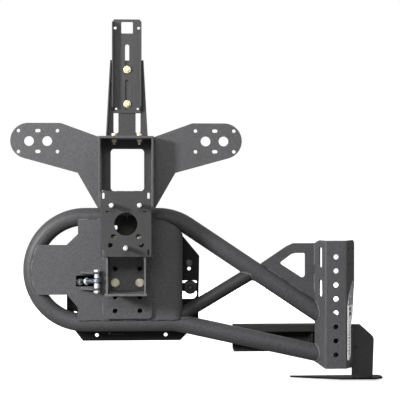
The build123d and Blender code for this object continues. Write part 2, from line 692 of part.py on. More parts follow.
write("hinge_housing", cut(
    hinge_rod(HOUSING_R, HOUSING_Z0, HOUSING_Z1),
    hinge_rod(HOUSING_BORE_R, HOUSING_Z0 - 1, HOUSING_Z1 + 1),
    rod(nipple_point(12), NIPPLE_DIR, 2.6, 24.0)))
write("hinge_bushes", bush(HOUSING_Z1 - BUSH_LENGTH, HOUSING_Z1),
      bush(HOUSING_Z0, HOUSING_Z0 - BUSH_FLANGE_T))
write("grease_nipple", fuse(
    rod(nipple_point(22), NIPPLE_DIR, 2.58, 8.0),
    hexagon(nipple_point(30.2), NIPPLE_DIR, 7.0, 3.0),
    rod(nipple_point(30.0), NIPPLE_DIR, 2.0, 7.5)))

# ---------------------------------------------------------------- fixed body bracket
BODY_X0, BODY_X1 = 308.6, 592.0
BODY_Z0, BODY_Z1 = -380.0, -305.0
FIXED_T = 6.0                           # bracket, rib, back plate and leg rib
BODY_LINE = [(192.0, -322.0), (204.0, BODY_Z1), (252.0, BODY_Z1), (252.0, BODY_Z0),
             (192.0, BODY_Z0)]          # outside of the section, (y, z)
BODY_RIB = [(203.0, -334.0, 3), (217.0, -313.0, 3), (217.0, -311.0), (241.0, -311.0),
            (246.0, -316.0), (246.0, -369.0), (241.0, -374.0), (203.0, -374.0)]
BACK_Y0 = 216.0
BACK_Y1 = BACK_Y0 + FIXED_T

write("body_bracket_channel", cut(
    plate_x(bent_section(BODY_LINE, -FIXED_T, 9.0), BODY_X0, BODY_X1),
    plate_z(rectangle(547.0, 185.0, 600.0, BACK_Y1), -390.0, -290.0),
    *rods_y([(345.0, -358.0), (485.0, -358.0)], 6.5, 240, 260)))
write("bracket_rib", plate_x(BODY_RIB, 538.5, 538.5 + FIXED_T))

# ---------------------------------------------------------------- back plate, leg and foot
FOOT_PITCH = math.radians(3.0)          # the foot falls towards +Y
FOOT_T = 5.0                            # measured along z
FOOT_NORMAL = Vector(0, math.sin(FOOT_PITCH), math.cos(FOOT_PITCH))
FOOT_OUTLINE = [(484.0, 268.0), (484.0, 262.0, 2), (630.0, 206.0, 25), (728.0, 201.0, 18),
                (758.0, 224.0, 14), (758.0, 268.0, 10)]        # (x, y, corner radius)
FOOT_BOLT_XY = [(540.0, 255.0), (742.0, 246.0)]
# (x, z, corner radius), with the leg down to the foot at the right
BACK_OUTLINE = [
    (550.0, -306.5), (550.0, -373.5), (592.5, -373.5), (592.5, -433.0, 6), (662.3, -433.0),
    (662.3, -480.0), (724.0, -480.0), (728.5, -350.0, 8), (725.0, -340.0), (686.0, -305.0, 4),
    (662.0, -305.0), (592.5, -305.0)]
LEG_RIB_OUTLINE = [(BACK_Y1, -345.0), (BACK_Y1, -480.0), (258.0, -480.0), (258.0, -420.0, 8),
                   (236.0, -345.0, 6)]


def foot_z(y):
    """Height of the foot's top face."""
    return -462.5 - (y - 200.0) * math.tan(FOOT_PITCH)


def foot_plate():
    face = outline_face(FOOT_OUTLINE, lambda x, y: Vector(x, y, foot_z(y) - FOOT_T))
    plate = Solid.extrude(face, FOOT_NORMAL * (FOOT_T * math.cos(FOOT_PITCH)))
    return cut(plate, *[rod(Vector(x, y, foot_z(y)) - FOOT_NORMAL * 12, FOOT_NORMAL, 5.5, 24.0)
                        for x, y in FOOT_BOLT_XY])


below_foot_top = plate_x([(150.0, foot_z(150.0)), (300.0, foot_z(300.0)), (300.0, -560.0),
                          (150.0, -560.0)], 600.0, 800.0)
write("foot_plate", foot_plate())
write("hinge_back_plate", biggest(cut(plate_y(BACK_OUTLINE, BACK_Y0, BACK_Y1), below_foot_top)))
write("leg_rib", biggest(cut(plate_x(LEG_RIB_OUTLINE, 716.0, 716.0 + FIXED_T), below_foot_top)))

# ---------------------------------------------------------------- hinge ears and spindle
EAR_T, EAR_R = 8.0, 29.0
UPPER_EAR_Z1, LOWER_EAR_Z1 = -300.0, -415.0     # top faces
SPINDLE_WASHER_T, THRUST_WASHER_T = 2.5, 1.5


def hinge_ear(z1):
    """Round lug about the spindle with a neck to the back plate."""
    z0 = z1 - EAR_T
    neck = plate_z(rectangle(598.0, HINGE_Y, 628.0, BACK_Y0), z0, z1)
    return cut(fuse(hinge_rod(EAR_R, z0, z1), neck), hinge_rod(SPINDLE_R + PLAY, z0 - 1, z1 + 1))


def hinge_washer(z0, radius, height):
    return washer((HINGE_X, HINGE_Y, z0), UP, SPINDLE_R + 0.1, radius, height)


write("upper_hinge_ear", hinge_ear(UPPER_EAR_Z1))
write("lower_hinge_ear", hinge_ear(LOWER_EAR_Z1))
write("hinge_spindle", cut(hinge_rod(SPINDLE_R, LOWER_EAR_Z1 - EAR_T, -281.5),
                           hinge_rod(1.6, -285.0, -280.0)))
write("spindle_nut", nut((HINGE_X, HINGE_Y, UPPER_EAR_Z1 + SPINDLE_WASHER_T), UP,
                         SPINDLE_R, 28.0, 13.0))
write("spindle_washer", hinge_washer(UPPER_EAR_Z1, 18.0, SPINDLE_WASHER_T))
write("thrust_washers",
      hinge_washer(UPPER_EAR_Z1 - EAR_T - THRUST_WASHER_T, 20.0, THRUST_WASHER_T),
      hinge_washer(LOWER_EAR_Z1, 20.0, THRUST_WASHER_T))

# ---------------------------------------------------------------- link to the tailgate
CARRIER_BALL = Vector(-86.0, 110.0, -162.5)
GATE_BALL = Vector(-166.0, 174.0, -174.0)
BALL_R = 9.0
SOCKET_R = BALL_R + 0.05
BALL_HALF_H = 8.0
ROD_R = 6.0
LINK_AXIS = (GATE_BALL - CARRIER_BALL).normalized()
LINK_SIDE = Vector(*UP).cross(LINK_AXIS).normalized()
LINK_UP = LINK_AXIS.cross(LINK_SIDE).normalized()
LINK_ENDS = ((CARRIER_BALL, LINK_AXIS), (GATE_BALL, LINK_AXIS * -1))
TAB_T = 5.0
UPPER_TAB_Z0, LOWER_TAB_Z0 = -143.0, -189.0
TAB_OUTLINE = [(-134.0, RAIL_Y1), (-134.0, 117.0, 3), (-97.0, 99.0, 6), (-78.0, 99.0, 8),
               (-75.0, 104.0, 3), (-75.0, RAIL_Y1)]            # (x, y, corner radius)


def tab_hole(ball, z0):
    return rod_z(ball.X, ball.Y, 5.2, z0 - 1, z0 + TAB_T + 1)


def link_tab(z0):
    return cut(plate_z(TAB_OUTLINE, z0, z0 + TAB_T), tab_hole(CARRIER_BALL, z0))


def link_spacer(z0, z1):
    return washer((CARRIER_BALL.X, CARRIER_BALL.Y, z0), UP, 5.1, 7.5, z1 - z0)


def rod_ball(centre):
    """Ball with a neck and a vertical bore, cut flat above and below."""
    x, y, z = centre.X, centre.Y, centre.Z
    ball = Solid.make_sphere(BALL_R, Plane(origin=centre), -90, 90, 360)
    ball = fuse(ball, rod_z(x, y, 6.4, z - BALL_HALF_H, z + BALL_HALF_H))
    ball = cut(ball, rod_z(x, y, 5.0 + PLAY, z - 12.0, z + 12.0))
    slab = Solid.make_box(40, 40, 2 * BALL_HALF_H,
                          Plane(origin=(x - 20, y - 20, z - BALL_HALF_H)))
    return gathered(ball & slab)


def rod_end(centre, direction):
    """Female rod end: ring round the ball, shank along direction."""
    ring = rod(centre - LINK_UP * 4.5, LINK_UP, 13.0, 9.0)
    shank = rod(centre + direction * 12.0, direction, 7.2, 24.0)
    socket = Solid.make_sphere(SOCKET_R, Plane(origin=centre), -90, 90, 360)
    return biggest(cut(
        fuse(ring, shank), socket,
        rod(centre - LINK_UP * 10, LINK_UP, 7.7, 20.0),
        rod(centre + direction * 20.0, direction, ROD_R + PLAY, 30.0)))


write("link_tabs", link_tab(UPPER_TAB_Z0), link_tab(LOWER_TAB_Z0))
write("link_bolt", bolt((CARRIER_BALL.X, CARRIER_BALL.Y, UPPER_TAB_Z0 + TAB_T), DOWN, **BOLT_10,
                        grip=UPPER_TAB_Z0 + TAB_T - LOWER_TAB_Z0, tail=10.5))
write("link_nut", nut((CARRIER_BALL.X, CARRIER_BALL.Y, LOWER_TAB_Z0), DOWN, **NUT_10))
write("link_spacers", link_spacer(CARRIER_BALL.Z + BALL_HALF_H, UPPER_TAB_Z0),
      link_spacer(LOWER_TAB_Z0 + TAB_T, CARRIER_BALL.Z - BALL_HALF_H))
write("front_rod_ball", rod_ball(CARRIER_BALL))
write("rear_rod_ball", rod_ball(GATE_BALL))
write("rod_ends", [rod_end(ball, direction) for ball, direction in LINK_ENDS])
write("link_rod", rod(CARRIER_BALL + LINK_AXIS * 22.0, LINK_AXIS, ROD_R,
                      (GATE_BALL - CARRIER_BALL).length - 2 * 22.0))
write("jam_nuts", [nut(ball + direction * 36.0, direction, ROD_R, 18.0, 6.5)
                   for ball, direction in LINK_ENDS])

# ---------------------------------------------------------------- tailgate side
GATE_Y0, GATE_Y1 = 205.0, 211.0
BUMPER_X, BUMPER_Z, BUMPER_R = 180.5, -191.5, 19.5
BUMPER_SEAT_Y = 198.0                   # floor of the bumper's recess, under the bolt head
GATE_BOLT = (177.5, -121.0)
GATE_HOLES = [(-92.6, -331.0), (108.7, -331.0), (-155.0, -265.9), (177.5, -137.3)]
GATE_OUTLINE = [
    (-180.0, -286.0), (-180.0, -70.0, 10), (-150.0, -40.0, 10), (120.0, -40.0, 6),
    (156.0, -37.5, 4), (207.5, -99.5, 5), (205.0, -292.0, 5), (172.0, -327.0),
    (151.5, -347.5, 3), (-133.0, -347.5, 3)]                   # (x, z, corner radius)
GATE_CUTOUT = [(152.0, -226.0, 8), (200.3, -226.0, 14), (200.3, -172.0, 3), (152.0, -172.0, 3)]


def tailgate_plate():
    """Plate with windows round the tongue that carries the bumper."""
    tongue = fuse(
        rod_y(BUMPER_X, BUMPER_Z, BUMPER_R + 0.2, 190, 225),
        plate_y(rectangle(150.0, BUMPER_Z - 12, 203.0, BUMPER_Z + 12), 190, 225))
    windows = solids_of(plate_y(GATE_CUTOUT, 195, 220) - tongue)
    return cut(
        plate_y(GATE_OUTLINE, GATE_Y0, GATE_Y1), *windows,
        *rods_y(GATE_HOLES, 5.5, 195, 220),
        rod_y(BUMPER_X, BUMPER_Z, 4.1, 195, 220),
        rod_y(*GATE_BOLT, 5.2, 195, 220))


def tailgate_tab(z0):
    x, y = GATE_BALL.X, GATE_BALL.Y
    arm = plate_z([(x - 10.5, y), (x + 7.0, y + 6.0), (x + 14.0, GATE_Y0), (x - 13.5, GATE_Y0)],
                  z0, z0 + TAB_T)
    return cut(fuse(rod_z(x, y, 10.5, z0, z0 + TAB_T), arm), tab_hole(GATE_BALL, z0))


def rubber_bumper():
    tip = Solid.make_cone(BUMPER_R - 2.5, BUMPER_R, 3.0,
                          Plane(origin=Vector(BUMPER_X, 187.0, BUMPER_Z), z_dir=Vector(*ALONG_Y)))
    return cut(fuse(rod_y(BUMPER_X, BUMPER_Z, BUMPER_R, 190.0, GATE_Y0), tip),
               rod_y(BUMPER_X, BUMPER_Z, 8.0, 180.0, BUMPER_SEAT_Y),
               rod_y(BUMPER_X, BUMPER_Z, 4.1, 180, 220))


tab_reach = BALL_HALF_H + TAB_T         # ball centre to the far face of a tab
write("tailgate_plate", tailgate_plate())
write("tailgate_tabs", tailgate_tab(GATE_BALL.Z + BALL_HALF_H),
      tailgate_tab(GATE_BALL.Z - tab_reach))
write("tailgate_pin",
      bolt(GATE_BALL + Vector(0, 0, tab_reach), DOWN, **BOLT_10, grip=2 * tab_reach, tail=10.0),
      nut(GATE_BALL - Vector(0, 0, tab_reach), DOWN, **NUT_10))
write("rubber_bumper", rubber_bumper())
write("bumper_fasteners",
      bolt((BUMPER_X, BUMPER_SEAT_Y, BUMPER_Z), ALONG_Y, radius=4.0,
           grip=GATE_Y1 - BUMPER_SEAT_Y, across_flats=10.0, head_h=5.0, tail=9.0),
      nut((BUMPER_X, GATE_Y1, BUMPER_Z), ALONG_Y, 4.0, 13.0, 6.5))
write("tailgate_bolt",
      bolt((GATE_BOLT[0], GATE_Y0, GATE_BOLT[1]), ALONG_Y, radius=5.0, grip=GATE_Y1 - GATE_Y0,
           across_flats=15.0, head_h=6.0, tail=18.0, flange_r=10.5, flange_h=1.6))
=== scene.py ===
"""Hinged wheel carrier: a studded wheel mount on a tube frame, with its hinge and tailgate link.

Seen from the front, +X is right, +Y runs to the back and +Z is up. The wheel studs point to the
front and the hinge is at the right end. Geometry is written in millimetres and scaled by MM when
it becomes a mesh. Materials, lights and the camera are in metres.
"""
import json
import math
import random
from collections import namedtuple

import bmesh
import bpy
import numpy as np
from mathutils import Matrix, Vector
from mathutils.bvhtree import BVHTree


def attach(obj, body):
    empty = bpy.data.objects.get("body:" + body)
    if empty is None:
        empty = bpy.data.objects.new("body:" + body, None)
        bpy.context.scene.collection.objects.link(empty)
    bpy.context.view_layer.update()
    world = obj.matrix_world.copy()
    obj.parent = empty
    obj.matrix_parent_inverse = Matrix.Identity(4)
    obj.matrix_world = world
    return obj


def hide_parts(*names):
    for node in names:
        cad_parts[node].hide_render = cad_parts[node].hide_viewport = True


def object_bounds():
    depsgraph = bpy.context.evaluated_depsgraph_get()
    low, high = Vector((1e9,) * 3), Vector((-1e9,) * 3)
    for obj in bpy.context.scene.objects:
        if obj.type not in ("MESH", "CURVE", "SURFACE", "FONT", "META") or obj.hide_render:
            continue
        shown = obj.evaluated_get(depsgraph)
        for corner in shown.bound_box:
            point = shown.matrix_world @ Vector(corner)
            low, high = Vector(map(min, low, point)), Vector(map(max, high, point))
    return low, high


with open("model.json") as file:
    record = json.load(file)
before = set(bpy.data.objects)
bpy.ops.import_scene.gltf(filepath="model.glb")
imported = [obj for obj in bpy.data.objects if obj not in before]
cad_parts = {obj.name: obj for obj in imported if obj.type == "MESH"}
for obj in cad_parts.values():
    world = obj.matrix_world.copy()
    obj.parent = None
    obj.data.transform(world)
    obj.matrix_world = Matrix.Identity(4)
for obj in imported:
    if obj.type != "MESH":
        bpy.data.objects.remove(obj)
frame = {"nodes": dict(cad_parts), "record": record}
cad_box = [list(v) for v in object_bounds()]
nodes = frame["nodes"]
slot_of = {part["node"]: part["material_slot"] for part in frame["record"]["subparts"]}
scene = bpy.context.scene

MM = 0.001
TAU = 2 * math.pi
SIDES = 48  # segments round bolts, nuts and washers
RIGHT, BACK, FRONT = (1, 0, 0), (0, 1, 0), (0, -1, 0)
UP, DOWN = (0, 0, 1), (0, 0, -1)

# driving places, mm
MOUNT_FLANGE_Y = 111.1  # underside of the mount bolt flanges
TAILGATE_FLANGE_Y = 205.0  # underside of the tailgate bolt flange
LINK_START = Vector((-86.0, 110.0, -162.5))  # clamp bolt end
LINK_END = Vector((-166.0, 174.0, -174.0))  # tailgate pin end
LINK_AXIS = (LINK_END - LINK_START).normalized()
ROD_INSET = 22.0  # rod end from the link's end point
JAM_NUT_INSET = 36.0
STRIP_START = Vector((625.2, 109.0, 0))  # plan line of the riveted strip
STRIP_END = Vector((656.0, 155.0, 0))
TUBE_RADIUS = 25.4
BRACE_RADIUS = 19.05
UPPER_TUBE = Vector((213.2, 160.0, -37.6)), Vector((527.5, 160.0, -247.7))
LOWER_TUBE = Vector((213.3, 160.0, -304.9)), Vector((527.5, 160.0, -374.5))
BRACE = Vector((213.3, 160.0, -231.8)), Vector((300.2, 160.0, -180.3))


# ------------------------------------------------------------------ shader helpers
def connect(tree, socket, value):
    """Link an output to the socket, or set its value; a 3-part colour gets alpha 1."""
    if isinstance(value, bpy.types.NodeSocket):
        tree.links.new(value, socket)
        return
    if isinstance(value, tuple) and len(value) == 3 and len(socket.default_value) == 4:
        value += (1.0,)
    socket.default_value = value


def add_node(tree, kind, inputs=None, **settings):
    node = tree.nodes.new("ShaderNode" + kind)
    for key, value in settings.items():
        setattr(node, key, value)
    for key, value in (inputs or {}).items():
        connect(tree, node.inputs[key], value)
    return node


class Shader:
    """A material with one Principled shader and object-space textures."""

    def __init__(self, name):
        self.material = bpy.data.materials.new(name)
        self.material.use_nodes = True
        self.tree = self.material.node_tree
        self.tree.nodes.clear()
        output = self.node("OutputMaterial")
        self.principled = self.node("BsdfPrincipled")
        connect(self.tree, output.inputs[0], self.principled.outputs[0])
        self.position = self.node("TexCoord").outputs["Object"]

    def node(self, kind, inputs=None, **settings):
        return add_node(self.tree, kind, inputs, **settings)

    def stretched(self, scale):
        return self.node("Mapping", {"Vector": self.position, "Scale": scale}).outputs[0]

    def noise(self, scale, detail=3.0, roughness=0.55, distortion=0.0, vector=None):
        return self.node("TexNoise", {
            "Vector": vector or self.position, "Scale": scale, "Detail": detail,
            "Roughness": roughness, "Distortion": distortion}).outputs["Fac"]

    def cells(self, scale, smoothness):
        return self.node("TexVoronoi", {
            "Vector": self.position, "Scale": scale, "Smoothness": smoothness,
        }, feature="SMOOTH_F1").outputs["Distance"]

    def remap(self, value, span, to=(0.0, 1.0)):
        return self.node("MapRange", {
            "Value": value, "From Min": span[0], "From Max": span[1],
            "To Min": to[0], "To Max": to[1]}).outputs[0]

    def add(self, a, b):
        return self.node("Math", {0: a, 1: b}, operation="ADD").outputs[0]

    def multiply(self, a, b, clamp=False):
        return self.node("Math", {0: a, 1: b}, operation="MULTIPLY", use_clamp=clamp).outputs[0]

    def mix(self, factor, a, b):
        # 6, 7 and output 2 are the colour sockets of a Mix node
        return self.node("Mix", {"Factor": factor, 6: a, 7: b}, data_type="RGBA").outputs[2]

    def split(self, vector):
        return self.node("SeparateXYZ", {0: vector}).outputs

    def edge(self, radius):
        """A mask that is 1 on edges and 0 on flats, and the rounded normal."""
        bevel = self.node("Bevel", {"Radius": radius}, samples=4).outputs[0]
        normal = self.node("NewGeometry").outputs["Normal"]
        dot = self.node("VectorMath", {0: bevel, 1: normal}, operation="DOT_PRODUCT")
        return self.remap(dot.outputs["Value"], span=(0.995, 0.80)), bevel

    def bump(self, height, strength, distance, normal=None):
        inputs = {"Strength": strength, "Distance": distance, "Height": height}
        if normal is not None:
            inputs["Normal"] = normal
        return self.node("Bump", inputs).outputs[0]

    def finish(self, base, roughness, normal, metallic=0.0, specular=0.5):
        values = {"Base Color": base, "Metallic": metallic, "Roughness": roughness,
                  "Normal": normal, "Specular IOR Level": specular}
        for key, value in values.items():
            connect(self.tree, self.principled.inputs[key], value)
        return self.material


# ------------------------------------------------------------------ materials
def powder(name, light, dark, wear, roughness=(0.42, 0.60), specular=0.32, grain=0.15,
           wear_amount=0.55, painted_front_shade=None):
    """Fine textured powder coat: sandy grain, soft mottling, thin on the edges.

    The upper-front colour is painted shade: faces turned to the front, high on the part, are
    darkened towards it.
    """
    mat = Shader(name)
    blotch = mat.noise(scale=7.0, detail=3.0, roughness=0.6)
    mottle = mat.noise(scale=150.0, detail=5.0, roughness=0.7)
    speck = mat.noise(scale=240.0, detail=2.0, roughness=0.8)
    sand = mat.noise(scale=900.0, detail=3.0, roughness=0.7)
    cells = mat.cells(scale=650.0, smoothness=0.6)
    base = mat.mix(mat.remap(blotch, span=(0.3, 0.7)), dark, light)
    value = mat.add(mat.remap(mottle, span=(0.25, 0.75), to=(1.0 - grain, 1.0 + grain)),
                    mat.remap(sand, span=(0.3, 0.7), to=(-grain, grain)))
    value = mat.add(value, mat.remap(speck, span=(0.30, 0.70), to=(-2.0 * grain, 2.0 * grain)))
    base = mat.node("VectorMath", {0: base, "Scale": value}, operation="SCALE").outputs[0]
    # painted shade: front-facing faces high on the part take the dark colour, as shade in a
    # recess would
    if painted_front_shade is not None:
        facing = mat.split(mat.node("NewGeometry").outputs["True Normal"])
        place = mat.split(mat.position)
        front = mat.remap(facing["Y"], span=(-0.85, -0.97))
        high = mat.remap(place["Z"], span=(-0.100, -0.060))
        base = mat.mix(mat.multiply(front, high, clamp=True), base, painted_front_shade)
    worn, soft = mat.edge(radius=0.0016)
    chips = mat.remap(mat.noise(scale=55.0, detail=4.0, roughness=0.7),
                      span=(0.42, 0.66), to=(0.25, 1.0))
    worn = mat.multiply(mat.multiply(worn, chips), wear_amount, clamp=True)
    base = mat.mix(worn, base, wear)
    gloss = mat.remap(mottle, span=(0.3, 0.7), to=roughness)
    height = mat.add(mat.multiply(cells, 1.2), mat.multiply(sand, 0.8))
    # three bumps stacked from coarse to fine
    normal = mat.bump(mat.noise(scale=60.0, detail=2.0), strength=0.12, distance=0.0008,
                      normal=soft)
    normal = mat.bump(speck, strength=0.22, distance=0.0008, normal=normal)
    normal = mat.bump(height, strength=0.30, distance=0.00035, normal=normal)
    return mat.finish(base, gloss, normal, specular=specular)


def plated(name, tints, roughness, metallic, scratch=0.10, stain=None):
    """Plated metal: cloudy tint, fine turning and handling marks, dull on the corners."""
    mat = Shader(name)
    cloud = mat.noise(scale=60.0, detail=4.0, roughness=0.6, distortion=0.6)
    fine = mat.noise(scale=420.0, detail=4.0, roughness=0.7)
    base = mat.mix(mat.remap(cloud, span=(0.35, 0.65)), tints[0], tints[1])
    base = mat.mix(mat.remap(fine, span=(0.50, 0.75), to=(0.0, 0.4)), base, tints[2])
    if stain is not None:
        patches = mat.noise(scale=25.0, detail=3.0)
        base = mat.mix(mat.remap(patches, span=(0.55, 0.8), to=(0.0, 0.6)), base, stain)
    worn, soft = mat.edge(radius=0.0007)
    base = mat.mix(mat.multiply(worn, 0.35), base, (0.62, 0.60, 0.56))
    streak = mat.noise(scale=1.0, detail=3.0, roughness=0.6,
                       vector=mat.stretched((900.0, 900.0, 120.0)))
    gloss = mat.remap(fine, span=(0.3, 0.7), to=roughness)
    marks = mat.add(streak, mat.multiply(fine, 0.5))
    normal = mat.bump(marks, strength=scratch, distance=0.0002, normal=soft)
    return mat.finish(base, gloss, normal, metallic=metallic)


def polished_rod():
    mat = Shader("polished_rod")
    fine = mat.noise(scale=500.0, detail=4.0, roughness=0.7)
    cloud = mat.remap(mat.noise(scale=40.0, detail=3.0), span=(0.35, 0.65))
    # painted reflection: the strong blue tint stands in for bluish reflections on the rod
    base = mat.mix(cloud, (0.62, 0.72, 0.84), (0.40, 0.50, 0.64))
    gloss = mat.remap(fine, span=(0.3, 0.7), to=(0.07, 0.16))
    return mat.finish(base, gloss, mat.bump(fine, strength=0.04, distance=0.0001), metallic=1.0)


def moulded_rubber():
    """Near-black rubber, dusty in patches and paler on the edges."""
    mat = Shader("moulded_rubber")
    fine = mat.noise(scale=700.0, detail=4.0, roughness=0.7)
    dust = mat.remap(mat.noise(scale=45.0, detail=4.0, roughness=0.6),
                     span=(0.48, 0.72), to=(0.0, 0.35))
    worn, soft = mat.edge(radius=0.0012)
    base = mat.mix(dust, (0.010, 0.010, 0.011), (0.035, 0.034, 0.033))
    base = mat.mix(mat.multiply(worn, 0.4), base, (0.06, 0.06, 0.06))
    gloss = mat.remap(fine, span=(0.3, 0.7), to=(0.55, 0.75))
    return mat.finish(base, gloss, mat.bump(fine, strength=0.18, distance=0.0003, normal=soft))


def brushed_strip():
    """Metal brushed along Z, darker above z = -0.237."""
    mat = Shader("brushed_strip")
    streak = mat.noise(scale=1.0, detail=4.0, roughness=0.7,
                       vector=mat.stretched((1600.0, 1600.0, 14.0)))
    cloud = mat.noise(scale=35.0, detail=3.0)
    worn, soft = mat.edge(radius=0.0006)
    base = mat.mix(mat.remap(streak, span=(0.3, 0.7)),
                   (0.84, 0.845, 0.85), (0.94, 0.94, 0.945))
    height = mat.split(mat.position)["Z"]
    upper = mat.multiply(mat.remap(height, span=(-0.2375, -0.2365)), 1.0, clamp=True)
    dark = mat.mix(mat.remap(streak, span=(0.3, 0.7)),
                   (0.24, 0.245, 0.25), (0.40, 0.405, 0.41))
    base = mat.mix(upper, base, dark)
    base = mat.mix(mat.remap(cloud, span=(0.5, 0.75), to=(0.0, 0.10)), base, (0.62, 0.62, 0.63))
    base = mat.mix(mat.multiply(worn, 0.5), base, (0.82, 0.82, 0.83))
    gloss = mat.remap(streak, span=(0.3, 0.7), to=(0.34, 0.50))
    normal = mat.bump(streak, strength=0.12, distance=0.0002, normal=soft)
    return mat.finish(base, gloss, normal, metallic=0.12)


# finish, material name, light, dark and worn-edge colours, options of powder()
POWDER_COATS = (
    ("charcoal_coat", "charcoal_powder_coat",
     (0.066, 0.0655, 0.069), (0.056, 0.0555, 0.0585), (0.20, 0.20, 0.21), {}),
    ("black_coat", "black_powder_coat",
     (0.040, 0.040, 0.040), (0.030, 0.030, 0.029), (0.13, 0.13, 0.13),
     dict(roughness=(0.40, 0.56), grain=0.12, wear_amount=0.4)),
    ("tailgate_black", "satin_black_coat",
     (0.0075, 0.0075, 0.007), (0.005, 0.005, 0.0045), (0.045, 0.045, 0.045),
     dict(roughness=(0.38, 0.52), specular=0.12, grain=0.16, wear_amount=0.3)),
    # painted shade: the body bracket's charcoal coat made near-black to stand in for the weak
    # light it gets
    ("bracket_black_painted_shade", "black_bracket_painted_shade_coat",
     (0.024, 0.024, 0.023), (0.018, 0.018, 0.017), (0.06, 0.06, 0.06),
     dict(roughness=(0.56, 0.70), specular=0.10, grain=0.14, wear_amount=0.35)),
    # painted light and shade for the mount box: a lighter charcoal than the real coat, with
    # painted shade on front faces high up
    ("box_coat_painted_light_shade", "charcoal_box_painted_light_and_shade",
     (0.100, 0.099, 0.104), (0.084, 0.0835, 0.087), (0.24, 0.24, 0.25),
     dict(painted_front_shade=(0.022, 0.022, 0.017))),
    ("weld_coat", "charcoal_weld_coat",
     (0.098, 0.0975, 0.102), (0.070, 0.0695, 0.073), (0.34, 0.34, 0.35),
     dict(roughness=(0.34, 0.50), wear_amount=0.9)),
    # painted shade: a darker copy of the charcoal coat for the frame tubes and gusset, standing
    # in for the wheel mount's shadow on them
    ("charcoal_tube_painted_shade", "tube_coat_painted_shade",
     (0.052, 0.0515, 0.0545), (0.044, 0.0435, 0.046), (0.19, 0.19, 0.20), {}),
    # painted shadow: a much darker copy of the charcoal coat for the brace, which lies in the
    # wheel mount's shadow
    ("charcoal_brace_painted_shadow", "brace_coat_painted_shadow",
     (0.030, 0.0298, 0.0308), (0.024, 0.0238, 0.0246), (0.14, 0.14, 0.145),
     dict(specular=0.22)),
    # painted shade: a darker copy of the charcoal coat for the light bracket and its tower,
    # standing in for weaker light towards the top
    ("light_bracket_painted_shade", "bracket_coat_painted_shade",
     (0.041, 0.0405, 0.0425), (0.034, 0.0335, 0.0355), (0.17, 0.17, 0.175), {}),
    ("charcoal_darker", "charcoal_plate_coat",
     (0.036, 0.0355, 0.0375), (0.030, 0.0295, 0.0315), (0.18, 0.18, 0.19), {}),
)
# finish, material name, (base, cloud and fine tints), roughness range, metallic, options
PLATINGS = (
    ("yellow_zinc", "yellow_zinc_plate",
     ((0.90, 0.80, 0.54), (0.84, 0.70, 0.40), (0.88, 0.84, 0.68)), (0.30, 0.46), 0.62,
     dict(stain=(0.70, 0.62, 0.38))),
    # painted shade: a darkened copy of the yellow zinc for the light bracket bolts, toning down
    # the strong light on them
    ("yellow_zinc_painted_shade", "yellow_plating_painted_shade",
     ((0.55, 0.505, 0.33), (0.51, 0.44, 0.25), (0.58, 0.545, 0.41)), (0.34, 0.50), 0.55,
     dict(stain=(0.45, 0.37, 0.20))),
    # painted light: olive and cream zinc are lightened past real plating and made almost
    # unmetallic, so bolts and nuts in shade look lit
    ("olive_zinc_painted_light", "olive_plating_painted_light",
     ((0.86, 0.85, 0.62), (0.76, 0.76, 0.50), (0.92, 0.91, 0.72)), (0.34, 0.50), 0.12, {}),
    ("cream_zinc_painted_light", "cream_plating_painted_light",
     ((0.97, 0.93, 0.82), (0.95, 0.88, 0.72), (0.98, 0.96, 0.89)), (0.34, 0.50), 0.05,
     dict(stain=(0.88, 0.75, 0.52))),
    ("bright_zinc", "bright_zinc_plate",
     ((0.84, 0.84, 0.85), (0.72, 0.73, 0.75), (0.92, 0.92, 0.92)), (0.24, 0.40), 0.48, {}),
    ("stud_zinc", "stud_zinc_plate",
     ((0.74, 0.74, 0.73), (0.62, 0.62, 0.62), (0.80, 0.80, 0.80)), (0.26, 0.40), 0.45, {}),
    ("dark_zinc", "black_zinc_plate",
     ((0.09, 0.09, 0.092), (0.055, 0.055, 0.057), (0.16, 0.16, 0.165)), (0.34, 0.48), 0.6, {}),
    # painted reflection: the rod-end steel is darkened and tinted blue to stand in for the dark
    # reflections it shows
    ("rod_end_steel", "rod_end_steel",
     ((0.30, 0.34, 0.40), (0.20, 0.23, 0.28), (0.44, 0.47, 0.52)), (0.28, 0.42), 0.92,
     dict(scratch=0.14)),
    ("bronze", "machined_bronze",
     ((0.52, 0.37, 0.17), (0.45, 0.30, 0.13), (0.60, 0.46, 0.24)), (0.25, 0.40), 0.92, {}),
)


def make_materials():
    made = {key: powder(name, light, dark, wear, **options)
            for key, name, light, dark, wear, options in POWDER_COATS}
    for key, name, tints, roughness, metallic, options in PLATINGS:
        made[key] = plated(name, tints, roughness, metallic, **options)
    made["chrome_rod"] = polished_rod()
    made["rubber"] = moulded_rubber()
    made["brushed_strip"] = brushed_strip()
    return made


MATERIALS = make_materials()

# ------------------------------------------------------------------ CAD nodes
# width of the broken edges by material slot, mm
EDGE_WIDTHS = {"charcoal_coat": 0.7, "black_coat": 0.7, "brushed_strip": 0.25, "rubber": 0.8}
OTHER_EDGE_WIDTH = 0.35
# nodes whose finish differs from their slot; the tube, brace, bracket and box finishes are
# darker or lighter copies that carry painted shade or painted light
OWN_FINISH = {
    "tailgate_plate": "tailgate_black", "tailgate_tabs": "tailgate_black",
    "body_bracket_channel": "bracket_black_painted_shade", "bracket_rib": "bracket_black_painted_shade",
    "foot_plate": "tailgate_black", "stud_plate": "charcoal_darker",
    "loop_tube": "charcoal_tube_painted_shade", "brace_tube": "charcoal_brace_painted_shadow",
    "light_bracket": "light_bracket_painted_shade", "tower_bracket": "light_bracket_painted_shade",
    "hinge_gusset": "charcoal_tube_painted_shade", "mount_channel": "box_coat_painted_light_shade",
    "mount_bottom_plate": "box_coat_painted_light_shade",
}


def add_modifier(obj, name, kind, **settings):
    modifier = obj.modifiers.new(name, kind)
    for key, value in settings.items():
        setattr(modifier, key, value)


